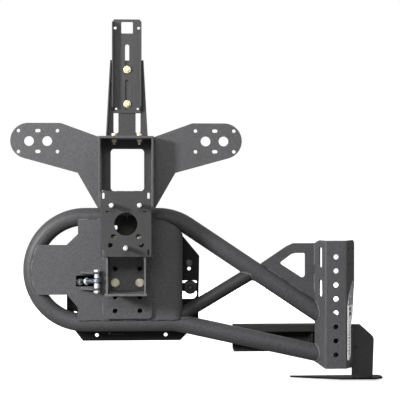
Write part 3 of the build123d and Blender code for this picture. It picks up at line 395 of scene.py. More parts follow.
def finish_node(obj, slot, finish):
    """Give a CAD node its material, clean flats and broken edges."""
    for k in range(max(1, len(obj.material_slots))):
        if len(obj.data.materials) <= k:
            obj.data.materials.append(finish)
        obj.material_slots[k].material = finish
    add_modifier(obj, "join", "WELD", merge_threshold=2e-6)
    add_modifier(obj, "flats", "DECIMATE", decimate_type="DISSOLVE",
                 angle_limit=math.radians(0.4))
    add_modifier(obj, "edge", "BEVEL", width=EDGE_WIDTHS.get(slot, OTHER_EDGE_WIDTH) * MM,
                 segments=2, limit_method="ANGLE", angle_limit=math.radians(32),
                 harden_normals=False, use_clamp_overlap=True, miter_outer="MITER_ARC")
    add_modifier(obj, "shade", "WEIGHTED_NORMAL", keep_sharp=True, weight=60)


for name, obj in nodes.items():
    finish_node(obj, slot_of[name], MATERIALS[OWN_FINISH.get(name, slot_of[name])])

# ------------------------------------------------------------------ turned surfaces
# A profile is a list of rings (height, radius); either may be an array round the ring.
Box = namedtuple("Box", "low high")


def frame_of(axis, spin=0.0):
    """Two directions square to the axis, turned by spin."""
    axis = Vector(axis).normalized()
    reference = Vector((0, 0, 1)) if abs(axis.z) < 0.9 else Vector((1, 0, 0))
    side = reference.cross(axis).normalized()
    other = axis.cross(side)
    cos, sin = math.cos(spin), math.sin(spin)
    return side * cos + other * sin, other * cos - side * sin, axis


def ring_angles(sides=SIDES):
    return np.arange(sides) * TAU / sides


def hex_radii(flats):
    """Radius round a hexagon, from its width across flats."""
    return (flats / 2) / np.cos(((ring_angles() + math.pi / 6) % (math.pi / 3)) - math.pi / 6)


def chamfered_hex(flats):
    """Chamfer circle, hexagon radii and chamfer depth of a hexagon."""
    circle = flats / 2 * 0.955
    hexagon = hex_radii(flats)
    return circle, hexagon, (hexagon - circle) * math.tan(math.radians(28)) + 0.05


def thread_rings(start, end, radius, pitch, step=6, depth=0.58):
    """Helical V thread between two heights, running out softly at both ends."""
    count = max(2, int(round((end - start) / pitch * step)))
    turn = np.arange(SIDES) / SIDES
    rings = []
    for k in range(count + 1):
        z = start + (end - start) * k / count
        phase = (z / pitch - turn) % 1.0
        groove = np.clip((1.0 - np.abs(2 * phase - 1)) * 1.35 - 0.12, 0, 1)
        fade = min(1.0, (z - start) / pitch + 0.05, (end - z) / pitch + 0.05)
        rings.append((z, radius - depth * pitch * groove * fade))
    return rings


def ring_mesh(mesh, rings, origin, axis, sides=SIDES, closed=False, spin=0.0):
    """One surface through the rings: capped at both ends, or closed into a loop."""
    side, other, axis = frame_of(axis, spin)
    origin = Vector(origin)
    cos, sin = np.cos(ring_angles(sides)), np.sin(ring_angles(sides))
    rows = []
    for z, radius in rings:
        z = np.broadcast_to(np.asarray(z, float), sides)
        radius = np.broadcast_to(np.asarray(radius, float), sides)
        rows.append([mesh.verts.new((origin + side * float(radius[k] * cos[k])
                                     + other * float(radius[k] * sin[k])
                                     + axis * float(z[k])) * MM) for k in range(sides)])
    pairs = list(zip(rows[:-1], rows[1:]))
    if closed:
        pairs.append((rows[-1], rows[0]))
    for lower, upper in pairs:
        for k in range(sides):
            after = (k + 1) % sides
            mesh.faces.new((lower[k], lower[after], upper[after], upper[k]))
    if closed:
        return
    for row, flip in ((rows[0], True), (rows[-1], False)):
        middle = mesh.verts.new(sum((vert.co for vert in row), Vector()) / sides)
        for k in range(sides):
            here, after = row[k], row[(k + 1) % sides]
            mesh.faces.new((after, here, middle) if flip else (here, after, middle))


def bolt_rings(radius, length, flats, head, pitch, threaded, flange=None, dish=0.0):
    """Hex bolt: head below 0, tip at length. flange is (radius, height)."""
    flange_radius, flange_height = flange or (0.0, 0.0)
    top = head + flange_height
    circle, hexagon, drop = chamfered_hex(flats)
    rings = [(-top + dish, circle * 0.62), (-top + dish, circle * 0.66), (-top, circle * 0.74),
             (-top, circle), (-top + drop, hexagon - 0.04), (-top + drop + 0.25, hexagon)]
    if flange:
        rings += [(-flange_height - 0.9, hexagon),
                  (-flange_height - 0.2, hexagon * 0.5 + 0.5 * (flats / 2 + 0.8)),
                  (-flange_height + 0.1, flats / 2 + 1.4),
                  (-flange_height * 0.55, flange_radius - 0.5),
                  (-flange_height * 0.35, flange_radius),
                  (-0.25, flange_radius), (0.0, flange_radius - 0.3)]
    else:
        rings += [(-0.75, hexagon), (-0.45, np.minimum(hexagon, flats / 2 * 0.97)),
                  (0.0, flats / 2 * 0.94)]
    thread_start = max(1.5, length - threaded)
    shank = radius - 0.02
    rings += [(0.0, radius + 0.35), (0.5, shank), (thread_start - 0.4, shank)]
    chamfer = min(1.4, radius * 0.22)
    rings += thread_rings(thread_start, length - chamfer, shank, pitch)
    return rings + [(length - chamfer * 0.5, radius - chamfer * 0.55),
                    (length, radius - chamfer)]


def nut_rings(bore, flats, height, pitch=1.5):
    circle, hexagon, drop = chamfered_hex(flats)
    thread = thread_rings(0.8, height - 0.8, bore + 0.55 * pitch * 0.55, pitch,
                          step=5, depth=0.5)
    return [(0.0, bore + 0.7), (0.0, circle), (drop, hexagon - 0.04), (drop + 0.25, hexagon),
            (height - drop - 0.25, hexagon), (height - drop, hexagon - 0.04),
            (height, circle), (height, bore + 0.8)
            ] + [(z, np.maximum(radius, bore)) for z, radius in thread[::-1]]


def washer_rings(bore, radius, height):
    chamfer = min(0.35, height * 0.3)
    return [(0.0, bore + 0.15), (0.0, radius - chamfer), (chamfer, radius),
            (height - chamfer, radius), (height, radius - chamfer), (height, bore + 0.15),
            (height - 0.15, bore), (0.15, bore)]


# ------------------------------------------------------------------ placing pieces
def add_piece(name, mesh, finish, body, replaces=None, smooth_angle=34):
    bmesh.ops.recalc_face_normals(mesh, faces=mesh.faces)
    data = bpy.data.meshes.new(name)
    mesh.to_mesh(data)
    mesh.free()
    data.polygons.foreach_set("use_smooth", [True] * len(data.polygons))
    data.set_sharp_from_angle(angle=math.radians(smooth_angle))
    data.materials.append(MATERIALS[finish])
    obj = bpy.data.objects.new(name, data)
    scene.collection.objects.link(obj)
    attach(obj, body)
    if replaces:
        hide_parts(replaces)


def islands(node):
    """Boxes of the separate solids of a CAD node, in millimetres."""
    mesh = bmesh.new()
    mesh.from_mesh(nodes[node].data)
    bmesh.ops.remove_doubles(mesh, verts=mesh.verts, dist=2e-6)
    mesh.verts.ensure_lookup_table()
    seen, boxes = set(), []
    for first in mesh.verts:
        if first.index in seen:
            continue
        stack, group = [first], []
        seen.add(first.index)
        while stack:
            vert = stack.pop()
            group.append(vert.co / MM)
            for edge in vert.link_edges:
                other = edge.other_vert(vert)
                if other.index not in seen:
                    seen.add(other.index)
                    stack.append(other)
        points = np.array(group)
        boxes.append(Box(Vector(points.min(0)), Vector(points.max(0))))
    mesh.free()
    return boxes


def box_of(node):
    return islands(node)[0]


def centre(box):
    return (box.low + box.high) / 2


def seat(box, direction):
    """Middle of the face where the direction enters the box, and the depth along it."""
    axis = [abs(part) for part in direction].index(1)
    origin = centre(box)
    origin[axis] = (box.low if direction[axis] > 0 else box.high)[axis]
    return origin, box.high[axis] - box.low[axis]


def on_upright(box, point):
    """The box narrowed to the vertical line through a point."""
    return Box(Vector((point.x, point.y, box.low.z)), Vector((point.x, point.y, box.high.z)))


def add_bolt(mesh, box, direction, head, under=None, spin=0.0, **shape):
    """Bolt filling the box; under is the level below its head, if not set by the box."""
    axis = [abs(part) for part in direction].index(1)
    sign = direction[axis]
    origin, _ = seat(box, direction)
    if under is None:
        under = origin[axis] + sign * head
    tip = (box.high if sign > 0 else box.low)[axis]
    origin[axis] = under
    ring_mesh(mesh, bolt_rings(length=(tip - under) * sign, head=head, **shape), origin,
              direction, spin=spin)


def add_nut(mesh, box, direction, bore, flats, pitch=1.5, spin=0.0):
    origin, height = seat(box, direction)
    ring_mesh(mesh, nut_rings(bore, flats, height, pitch), origin, direction,
              closed=True, spin=spin)


def add_washer(mesh, box, direction, bore, radius, height=None, sides=SIDES):
    origin, depth = seat(box, direction)
    ring_mesh(mesh, washer_rings(bore, radius, height or depth), origin, direction, sides,
              closed=True)


def fitted_piece(name, node, finish, body, fit, count=None, smooth_angle=34):
    """A piece in place of a CAD node; fit(mesh, box, k) builds on each of its solids."""
    mesh = bmesh.new()
    for k, box in enumerate(islands(node)[:count]):
        fit(mesh, box, k)
    add_piece(name, mesh, finish, body, node, smooth_angle)


# ------------------------------------------------------------------ wheel mount fasteners
def wheel_stud(mesh, box, _):
    """Half-inch threaded stud with a knurled neck and a hex head behind y = 0."""
    tip, _ = seat(box, BACK)
    neck = -tip.y
    knurl = 6.40 + 0.11 * np.abs(np.sin(ring_angles() * 12))
    hexagon = hex_radii(19.0)
    rings = [(0.0, 4.3), (0.35, 4.9), (1.8, 6.15)]
    rings += thread_rings(2.0, 33.0, radius=6.34, pitch=1.27)
    rings += [(33.4, 6.33), (neck - 0.5, 6.33), (neck - 0.45, knurl), (neck + 6.3, knurl),
              (neck + 6.35, 8.6), (neck + 6.8, hexagon - 0.2), (neck + 13.4, hexagon),
              (neck + 14.2, 8.9), (neck + 14.35, 8.0)]
    ring_mesh(mesh, rings, tip, BACK, spin=0.4 * tip.x)


def mount_bolts():
    """Flange bolts of the wheel mount, one piece for each side."""
    spins = [0.21, 0.75, 0.48, 0.05]
    left, right = bmesh.new(), bmesh.new()
    for k, box in enumerate(islands("mount_bolts")):
        add_bolt(right if centre(box).x > 0 else left, box, BACK, radius=6.0, flats=19.0,
                 head=7.5, flange=(12.5, 1.8), pitch=1.75, threaded=20.0, dish=0.5,
                 under=MOUNT_FLANGE_Y, spin=spins[k % 4])
    # both bolt finishes carry painted light
    add_piece("mount_bolt_set_left", left, "olive_zinc_painted_light", "carrier", "mount_bolts")
    add_piece("mount_bolt_set_right", right, "cream_zinc_painted_light", "carrier")


def mount_washer(mesh, box, _):
    add_washer(mesh, box, BACK, bore=6.1, radius=12.9, height=2.5)


def mount_nut(mesh, box, k):
    add_nut(mesh, box, BACK, bore=6.03, flats=19.0, pitch=1.75, spin=0.3 + k)


def tower_bolt(mesh, box, k):
    add_bolt(mesh, box, DOWN, radius=4.0, flats=13.0, head=5.3, pitch=1.25, threaded=20.0,
             dish=0.4, spin=0.2 + 0.5 * k)


def light_bracket_bolt(mesh, box, k):
    add_bolt(mesh, box, BACK, radius=5.0, flats=15.0, head=5.5, pitch=1.5, threaded=14.0,
             dish=0.5, spin=0.15 + 0.35 * k)


def lies_flat(box):
    """True for a washer or nut on a vertical bolt."""
    size = box.high - box.low
    return size.z < size.y


def bracket_washer(mesh, box, _):
    if lies_flat(box):
        add_washer(mesh, box, UP, bore=4.1, radius=8.5)
    else:
        add_washer(mesh, box, BACK, bore=5.1, radius=10.0)


def bracket_nut(mesh, box, k):
    if lies_flat(box):
        add_nut(mesh, box, DOWN, bore=4.03, flats=13.0, pitch=1.25, spin=0.1 + 0.4 * k)
    else:
        add_nut(mesh, box, BACK, bore=5.03, flats=16.0, spin=0.5 * k)


def camera_bracket_fastener(mesh, box, _):
    if (box.high - box.low).z > 12:
        add_bolt(mesh, box, DOWN, radius=3.0, flats=10.0, head=4.0, pitch=1.0, threaded=16.0,
                 spin=0.3)
    else:
        add_nut(mesh, box, DOWN, bore=3.03, flats=10.0, pitch=1.0)


fitted_piece("wheel_stud_set", "wheel_studs", "stud_zinc", "carrier",
             wheel_stud, smooth_angle=30)
mount_bolts()
# piece, CAD node, finish, builder
for name, node, finish, fit in (
        ("mount_washer_set", "mount_washers", "yellow_zinc", mount_washer),
        ("mount_nut_set", "mount_nuts", "yellow_zinc", mount_nut),
        ("tower_bolt_set", "tower_bolts", "yellow_zinc", tower_bolt),
        ("light_bracket_bolt_set", "light_bracket_bolts", "yellow_zinc_painted_shade", light_bracket_bolt),
        ("bracket_washer_set", "bracket_washers", "yellow_zinc", bracket_washer),
        # the cream finish carries painted light
        ("bracket_nut_set", "bracket_nuts", "cream_zinc_painted_light", bracket_nut),
        ("camera_bracket_screw", "camera_bracket_fasteners", "dark_zinc",
         camera_bracket_fastener)):
    fitted_piece(name, node, finish, "carrier", fit)


# ------------------------------------------------------------------ tailgate link
def link_bolt(mesh, box, _, point=LINK_START, spin=0.25):
    add_bolt(mesh, on_upright(box, point), DOWN, radius=4.99, flats=16.0, head=6.4, pitch=1.5,
             threaded=16.0, dish=0.4, spin=spin)


def link_nut(mesh, box, _, point=LINK_START, spin=0.1):
    add_nut(mesh, on_upright(box, point), DOWN, bore=5.03, flats=16.0, spin=spin)


def link_spacer(mesh, box, _):
    add_washer(mesh, on_upright(box, LINK_START), UP, bore=5.1, radius=7.5, sides=40)


def link_rod():
    """Rod threaded from both ends, plain in the middle."""
    mesh = bmesh.new()
    length = (LINK_END - LINK_START).length - 2 * ROD_INSET
    middle, radius = length / 2, 5.98
    rings = [(0.0, 4.8), (0.9, 5.9)]
    rings += thread_rings(1.0, middle - 14.0, radius, pitch=1.5)
    rings += [(middle - 13.6, radius), (middle + 13.6, radius)]
    rings += thread_rings(middle + 14.0, length - 1.0, radius, pitch=1.5)
    rings += [(length - 0.9, 5.9), (length, 4.8)]
    ring_mesh(mesh, rings, LINK_START + LINK_AXIS * ROD_INSET, LINK_AXIS)
    add_piece("link_threaded_rod", mesh, "chrome_rod", "tailgate_link",
              "link_rod", smooth_angle=30)


def jam_nuts():
    mesh = bmesh.new()
    for end, axis, spin in ((LINK_START, LINK_AXIS, 0.2), (LINK_END, -LINK_AXIS, 0.6)):
        ring_mesh(mesh, nut_rings(bore=6.03, flats=18.0, height=6.5),
                  end + axis * JAM_NUT_INSET, axis, closed=True, spin=spin)
    add_piece("link_jam_nuts", mesh, "bright_zinc", "tailgate_link", "jam_nuts")


def tailgate_pin(mesh, box, k):
    if (box.high - box.low).z > 20:
        link_bolt(mesh, box, k, LINK_END, spin=0.5)
    else:
        link_nut(mesh, box, k, LINK_END, spin=0.3)


def tailgate_bolt(mesh, box, _):
    add_bolt(mesh, box, BACK, radius=5.0, flats=15.0, head=6.0, flange=(10.5, 1.6), pitch=1.5,
             threaded=20.0, dish=0.5, under=TAILGATE_FLANGE_Y, spin=0.4)


fitted_piece("link_clamp_bolt", "link_bolt", "bright_zinc", "carrier",
             link_bolt, count=1)
fitted_piece("link_lock_nut", "link_nut", "bright_zinc", "carrier",
             link_nut, count=1)
fitted_piece("link_spacer_set", "link_spacers", "bright_zinc", "carrier",
             link_spacer)
link_rod()
jam_nuts()
fitted_piece("tailgate_pin_bolt", "tailgate_pin", "bright_zinc", "tailgate_side",
             tailgate_pin)
fitted_piece("tailgate_flange_bolt", "tailgate_bolt", "dark_zinc", "tailgate_side",
             tailgate_bolt, count=1)


# ------------------------------------------------------------------ bumper, hinge and rivets
def bumper_puck(mesh, box, _):
    """Rubber puck with a stepped nose, a moulding line and a screw hole."""
    origin, depth = seat(box, BACK)
    radius = (box.high.x - box.low.x) / 2
    half = depth * 0.5
    rings = [(0.0, 8.6), (0.0, radius - 3.4), (0.5, radius - 2.2), (1.6, radius - 1.5),
             (3.0, radius - 1.0), (4.2, radius - 0.9), (half, radius - 0.35),
             (half + 0.3, radius), (half + 0.6, radius - 0.3), (depth - 1.2, radius - 0.1),
             (depth, radius - 0.6), (depth, 4.2), (11.0, 4.2), (11.0, 8.0), (0.6, 8.0)]
    ring_mesh(mesh, rings, origin, BACK, sides=64, closed=True)


def bumper_fastener(mesh, box, _):
    if (box.high - box.low).y > 15:
        add_bolt(mesh, box, BACK, radius=4.0, flats=10.0, head=5.0, pitch=1.25, threaded=18.0,
                 spin=0.3)
    else:
        add_nut(mesh, box, BACK, bore=4.03, flats=13.0, pitch=1.25)


def hinge_pin(mesh, box, _):
    origin, length = seat(box, UP)
    rings = [(0.0, 8.4), (1.0, 9.48), (length - 19.0, 9.48)]
    rings += thread_rings(length - 18.5, length - 1.6, radius=9.46, pitch=2.0)
    ring_mesh(mesh, rings + [(length - 1.4, 8.9), (length, 7.6)], origin, UP)


def hinge_pin_nut(mesh, box, _):
    add_nut(mesh, box, UP, bore=9.53, flats=28.0, pitch=2.0, spin=0.2)


def hinge_pin_washer(mesh, box, _):
    add_washer(mesh, box, UP, bore=9.6, radius=18.0)


def trim_rivet(mesh, box, _):
    """Domed rivet set square to the strip, on its plan line."""
    along = (STRIP_END - STRIP_START).normalized()
    normal = Vector((-along.y, along.x, 0))
    middle = centre(box)
    distance = (Vector((middle.x, middle.y, 0)) - STRIP_START).dot(along)
    origin = STRIP_START + along * distance + Vector((0, 0, middle.z))
    rings = [(-3.22, 0.7), (-3.12, 1.7), (-2.8, 2.6), (-2.4, 3.05), (-2.02, 3.2),
             (-2.02, 1.58), (5.0, 1.58), (5.02, 2.7), (6.0, 2.6), (6.45, 1.8)]
    ring_mesh(mesh, rings, origin, normal, sides=32)


fitted_piece("bumper_puck", "rubber_bumper", "rubber", "tailgate_side",
             bumper_puck, count=1)
fitted_piece("bumper_screw", "bumper_fasteners", "dark_zinc", "tailgate_side",
             bumper_fastener)
fitted_piece("hinge_pin", "hinge_spindle", "bright_zinc", "body_mount",
             hinge_pin, count=1, smooth_angle=30)
fitted_piece("hinge_pin_nut", "spindle_nut", "bright_zinc", "body_mount",
             hinge_pin_nut, count=1)
fitted_piece("hinge_pin_washer", "spindle_washer", "bright_zinc", "body_mount",
             hinge_pin_washer, count=1)
fitted_piece("trim_rivet_set", "trim_rivets", "bright_zinc", "carrier",
             trim_rivet)

# ------------------------------------------------------------------ weld beads
# Every bead draws from this generator, so the order of the welds shapes them.
rng = random.Random(7)
BEAD_SIDES = 9
BEAD_STEP = 0.75  # between rings along the bead
RIPPLE_PITCH = 2.7
FOOT_SLOPE = math.tan(math.radians(3.0))
WHOLE = ((0.0, 1.0),)


def resample(points, step):
    points = [Vector(point) for point in points]
    path = [points[0]]
    for start, end in zip(points[:-1], points[1:]):
        count = max(1, int(round((end - start).length / step)))
        path += [start.lerp(end, k / count) for k in range(1, count + 1)]
    return path


def bead(mesh, points, radius, up=BACK):
    """Rippled weld bead along a line of points, rounded off at both ends."""
    path = resample(points, BEAD_STEP)
    count = len(path)
    if count < 4:
        return
    phase = rng.random() * 10
    travel = 0.0
    rows = []
    drifts = [rng.uniform(-1, 1) for _ in range(count // 8 + 3)]
    for k, point in enumerate(path):
        along = (path[min(count - 1, k + 2)] - path[max(0, k - 2)]).normalized()
        rise = Vector(up) - along * Vector(up).dot(along)
        if rise.length < 1e-3:
            rise = along.orthogonal()
        rise.normalize()
        side = along.cross(rise)
        if k:
            travel += (point - path[k - 1]).length
        ripple = abs(math.sin(math.pi * (travel / RIPPLE_PITCH + phase)))
        blend = (k % 8) / 8
        drift = drifts[k // 8] * (1 - blend) + drifts[k // 8 + 1] * blend
        end = min(1.0, (k + 0.6) / 5.0, (count - 1 - k + 0.6) / 5.0)
        size = radius * (0.80 + 0.20 * ripple + 0.077 * drift)
        size *= math.sqrt(max(0.05, 1 - (1 - end) ** 2))
        middle = point + rise * (0.10 * radius * drift)
        row = []
        for j in range(BEAD_SIDES):
            cos, sin = math.cos(TAU * j / BEAD_SIDES), math.sin(TAU * j / BEAD_SIDES)
            row.append(mesh.verts.new((middle + rise * (size * cos) + side * (size * sin)
                                       - along * (0.55 * cos * ripple)) * MM))
        rows.append(row)
    for here, after in zip(rows[:-1], rows[1:]):
        for j in range(BEAD_SIDES):
            n = (j + 1) % BEAD_SIDES
            mesh.faces.new((here[j], here[n], after[n], after[j]))
    mesh.faces.new(rows[0][::-1])
    mesh.faces.new(rows[-1])


def weld(mesh, start, end, radius, up=BACK, stitches=WHOLE):
    """Straight weld; stitches are the (from, to) fractions that carry a bead."""
    start, end = Vector(start), Vector(end)
    for first, last in stitches:
        bead(mesh, [start.lerp(end, first), start.lerp(end, last)], radius, up)


def tree_of(node):
    data = nodes[node].data
    return BVHTree.FromPolygons([tuple(vert.co) for vert in data.vertices],
                                [tuple(face.vertices) for face in data.polygons])


def round_seam(mesh, start, direction, tube_radius, target, radius):
    """Bead where a round tube runs into another part, found by casting along the tube."""
    tree = tree_of(target)
    side, other, direction = frame_of(direction)
    runs, run = [], []
    for degrees in range(0, 361, 6):
        angle = math.radians(degrees)
        spoke = side * math.cos(angle) + other * math.sin(angle)
        origin = start + spoke * (tube_radius + 0.4)
        hit = tree.ray_cast(origin * MM, direction, 260.0 * MM)[0]
        point = None if hit is None else hit / MM
        # a miss or a long jump ends the run
        if run and (point is None or (point - run[-1]).length >= 30.0):
            runs.append(run)
            run = []
        if point is not None:
            run.append(point)
    for run in runs + [run]:
        if len(run) > 2:
            bead(mesh, run, radius, up=tuple(direction))


# start, end, radius, up, stitches: welds on the right, repeated on the left
MIRRORED_WELDS = [((75.0, 54.6, z - half), (75.0, 54.6, z + half), 2.7, RIGHT)
                  for z, half in ((214.0, 10.0), (191.0, 11.0), (138.0, 13.0),
                                  (83.0, 12.0), (60.0, 7.0))]
MIRRORED_WELDS += [
    ((75.0, 60.2, 46.0), (75.0, 60.2, 236.0), 2.6, RIGHT),
    ((68.9, 0.6, 48.0), (68.9, 0.6, 87.0), 1.5, FRONT),
    ((68.9, 113.4, 92.0), (68.9, 113.4, 230.0), 2.4, BACK),
    ((75.0, 6.0, 233.0), (75.0, 116.0, 233.0), 2.0, UP),
    ((69.0, 6.0, 233.0), (69.0, 112.0, 233.0), 2.2, UP),
    ((54.2, 6.5, -86.0), (54.2, 6.5, 86.0), 2.6, RIGHT,
     ((0.02, 0.22), (0.38, 0.60), (0.78, 0.98))),
    ((54.0, 10.0, -190.2), (54.0, 116.0, -190.2), 2.2, UP,
     ((0.02, 0.30), (0.42, 0.66), (0.76, 0.98))),
    ((48.8, 9.0, -189.8), (48.8, 112.0, -189.8), 1.6, UP),
    ((69.0, 129.4, -262.0), (69.0, 129.4, -4.0), 2.6, RIGHT,
     ((0.0, 0.16), (0.30, 0.46), (0.60, 0.76), (0.88, 1.0))),
]
# the same columns, for welds that are made once
SINGLE_WELDS = [
    ((-60.0, 129.4, -272.6), (60.0, 129.4, -272.6), 2.6, DOWN,
     ((0.0, 0.26), (0.40, 0.60), (0.74, 1.0))),
    ((-50.0, 119.8, 88.0), (50.0, 119.8, 88.0), 2.6, UP),
    ((-48.0, 112.8, -189.6), (48.0, 112.8, -189.6), 1.8, UP),
] + [((-132.0, 129.4, z), (-77.0, 129.4, z), 1.9, FRONT)
     for z in (-137.9, -143.1, -183.9, -189.1)]


def wheel_mount_welds(mesh):
    for side in (-1, 1):
        for start, end, radius, up, *stitches in MIRRORED_WELDS:
            start, end, up = [(side * x, y, z) for x, y, z in (start, end, up)]
            weld(mesh, start, end, radius, up, *stitches)
    for row in SINGLE_WELDS:
        weld(mesh, *row)


def main_plate_welds(mesh):
    """Main plate to the tube frame: an arc on the left, then the top and bottom edges."""
    arc = [(-121.5 + 150.0 * math.cos(math.radians(degrees)), 133.2,
            -135.6 + 150.0 * math.sin(math.radians(degrees)))
           for degrees in range(151, 208, 2)]
    for k in range(0, len(arc) - 6, 9):
        bead(mesh, arc[k:k + 7], 2.8, up=FRONT)
    for x0, x1 in ((-138.0, -112.0), (-84.0, -60.0), (64.0, 76.0)):
        weld(mesh, (x0, 132.8, 9.2), (x1, 132.8, 9.2), 2.8, UP)
    for x0, x1 in ((-139.0, -108.0), (-78.0, -48.0), (-12.0, 22.0), (56.0, 88.0),
                   (108.0, 132.0)):
        weld(mesh, (x0, 133.6, -277.8), (x1, 133.6, -277.8), 2.8, DOWN)


def direction_of(tube):
    return (tube[1] - tube[0]).normalized()


def tube_welds(mesh):
    """Both ends of the brace, then the frame tube into the hinge channel and housing."""
    brace_middle, along = Vector((260.0, 160.0, -204.2)), direction_of(BRACE)
    for direction in (along, -along):
        round_seam(mesh, brace_middle, direction, BRACE_RADIUS, "loop_tube", 2.9)
    lower_start = Vector((440.0, 160.0, -355.1))
    for start, tube, target in (
            (Vector((470.0, 160.0, -209.3)), UPPER_TUBE, "hinge_channel"),
            (lower_start, LOWER_TUBE, "hinge_channel"),
            (lower_start, LOWER_TUBE, "hinge_housing")):
        round_seam(mesh, start, direction_of(tube), TUBE_RADIUS, target, 3.0)


def gusset_welds(mesh):
    """Gusset to the upper tube and to the hinge channel, on its front and back faces."""
    front_y, back_y = 157.4, 162.6
    along = direction_of(UPPER_TUBE)
    normal = Vector((-along.z, 0, along.x))
    for y in (front_y, back_y):
        for span in ((214.0, 262.0), (290.0, 338.0)):
            points = [UPPER_TUBE[0] + along * distance + normal * (TUBE_RADIUS + 0.1)
                      for distance in span]
            bead(mesh, [Vector((point.x, y, point.z)) for point in points], 2.8,
                 up=tuple(normal))
    tree = tree_of("hinge_channel")
    for y in (front_y - 0.4, back_y + 0.4):
        points = []
        for k in range(24):
            origin = Vector((500.0, y, -66.0 - k * 6.0)) * MM
            hit = tree.ray_cast(origin, Vector(RIGHT), 0.08)[0]
            if hit is not None and hit.x / MM < 560.0:
                points.append(hit / MM)
        if len(points) > 4:
            half = len(points) // 2
            bead(mesh, points[:half - 1], 2.6, up=(-1, 0, 0))
            bead(mesh, points[half + 2:], 2.6, up=(-1, 0, 0))


def carrier_welds():
    mesh = bmesh.new()
    wheel_mount_welds(mesh)
    main_plate_welds(mesh)
    tube_welds(mesh)
    gusset_welds(mesh)
    add_piece("carrier_welds", mesh, "weld_coat", "carrier", smooth_angle=60)


def body_mount_welds(back_plate):
    """Round the hinge ears, along the leg and bracket ribs, and across the foot."""
    mesh = bmesh.new()
    y = back_plate.low.y - 0.1
    for ear in (box_of("upper_hinge_ear"), box_of("lower_hinge_ear")):
        for z in (ear.low.z, ear.high.z):
            weld(mesh, (600.0, y, z), (626.0, y, z), 2.4, FRONT)
        for x in (598.0, 628.0):
            weld(mesh, (x, y, ear.low.z + 0.5), (x, y, ear.high.z - 0.5), 2.2, FRONT)
    leg = box_of("leg_rib")
    y = back_plate.high.y
    for x in (leg.low.x, leg.high.x):
        weld(mesh, (x, y, leg.low.z + 14.0), (x, y, leg.high.z - 4.0), 2.4, RIGHT,
             ((0.0, 0.34), (0.48, 0.70), (0.84, 1.0)))
    rib = box_of("bracket_rib")
    y = rib.high.y - 0.3
    for x in (rib.low.x, rib.high.x):
        weld(mesh, (x, y, rib.low.z + 8.0), (x, y, rib.high.z - 8.0), 2.0, RIGHT)
    for y in (back_plate.low.y, back_plate.high.y):
        z = -462.5 - (y - 200.0) * FOOT_SLOPE
        weld(mesh, (666.0, y, z), (712.0, y, z), 2.4, FRONT if y < 215 else BACK)
    add_piece("mount_welds", mesh, "black_coat", "body_mount", smooth_angle=60)


def tailgate_welds(y):
    mesh = bmesh.new()
    for tab in islands("tailgate_tabs"):
        for z in (tab.low.z, tab.high.z):
            weld(mesh, (-178.0, y - 0.1, z), (-153.0, y - 0.1, z), 1.8, FRONT)
    add_piece("tailgate_welds", mesh, "tailgate_black", "tailgate_side",
              smooth_angle=60)


def leg_rivets(y):
    """Round heads on the front of the hinge back plate."""
    mesh = bmesh.new()
    for x, z, radius in ((674.7, -373.4, 4.6), (706.5, -357.0, 2.4), (706.5, -412.0, 2.4)):
        rings = [(-0.45 * radius, radius * 0.35), (-0.42 * radius, radius * 0.62),
                 (-0.34 * radius, radius * 0.85), (-0.12 * radius, radius), (0.6, radius),
                 (1.4, radius * 0.6)]
        ring_mesh(mesh, rings, (x, y, z), BACK, sides=32)
    add_piece("leg_rivets", mesh, "rubber", "body_mount")


def tailgate_tack(y):
    """A round head and a short bead on the front of the tailgate plate."""
    mesh = bmesh.new()
    rings = [(-2.2, 1.6), (-2.0, 2.8), (-1.2, 3.8), (0.0, 4.3), (0.8, 4.3)]
    ring_mesh(mesh, rings, (-55.0, y, -326.0), BACK, sides=32)
    weld(mesh, (-47.0, y - 0.1, -328.0), (-12.0, y - 0.1, -328.5), 1.3, FRONT)
    add_piece("tailgate_tack", mesh, "dark_zinc", "tailgate_side",
              smooth_angle=60)


carrier_welds()
hinge_back_plate = box_of("hinge_back_plate")
tailgate_front_y = box_of("tailgate_plate").low.y
body_mount_welds(hinge_back_plate)
tailgate_welds(tailgate_front_y)
leg_rivets(hinge_back_plate.low.y)
tailgate_tack(tailgate_front_y)


# ------------------------------------------------------------------ stage, lights, camera
def mix_by_camera_ray(tree, output, other, camera):
    """Show one shader to the camera and another to every other ray."""
    path = add_node(tree, "LightPath")
    mix = add_node(tree, "MixShader", {0: path.outputs["Is Camera Ray"],
                                       1: other.outputs[0], 2: camera.outputs[0]})
    connect(tree, output.inputs[0], mix.outputs[0])


def floor_material():
    """Glowing pale floor to the camera, dim grey to the reflections and bounced light."""
    material = bpy.data.materials.new("pale_floor")
    material.use_nodes = True
    tree = material.node_tree
    tree.nodes.clear()
    output = add_node(tree, "OutputMaterial")
    pale = add_node(tree, "BsdfDiffuse", {"Color": (0.50, 0.50, 0.50)})
    glow = add_node(tree, "Emission", {"Color": (1, 1, 1), "Strength": 0.74})
    both = add_node(tree, "AddShader", {0: pale.outputs[0], 1: glow.outputs[0]})
    dim = add_node(tree, "BsdfDiffuse", {"Color": (0.16, 0.16, 0.16)})
    mix_by_camera_ray(tree, output, other=dim, camera=both)
    return material


def make_floor():
    half = 9.0
    z = cad_box[0][2] - 0.002
    data = bpy.data.meshes.new("floor")
    data.from_pydata([(-half, -half, z), (half, -half, z), (half, half, z), (-half, half, z)],
                     [], [(0, 1, 2, 3)])
    floor = bpy.data.objects.new("floor", data)
    scene.collection.objects.link(floor)
    data.materials.append(floor_material())


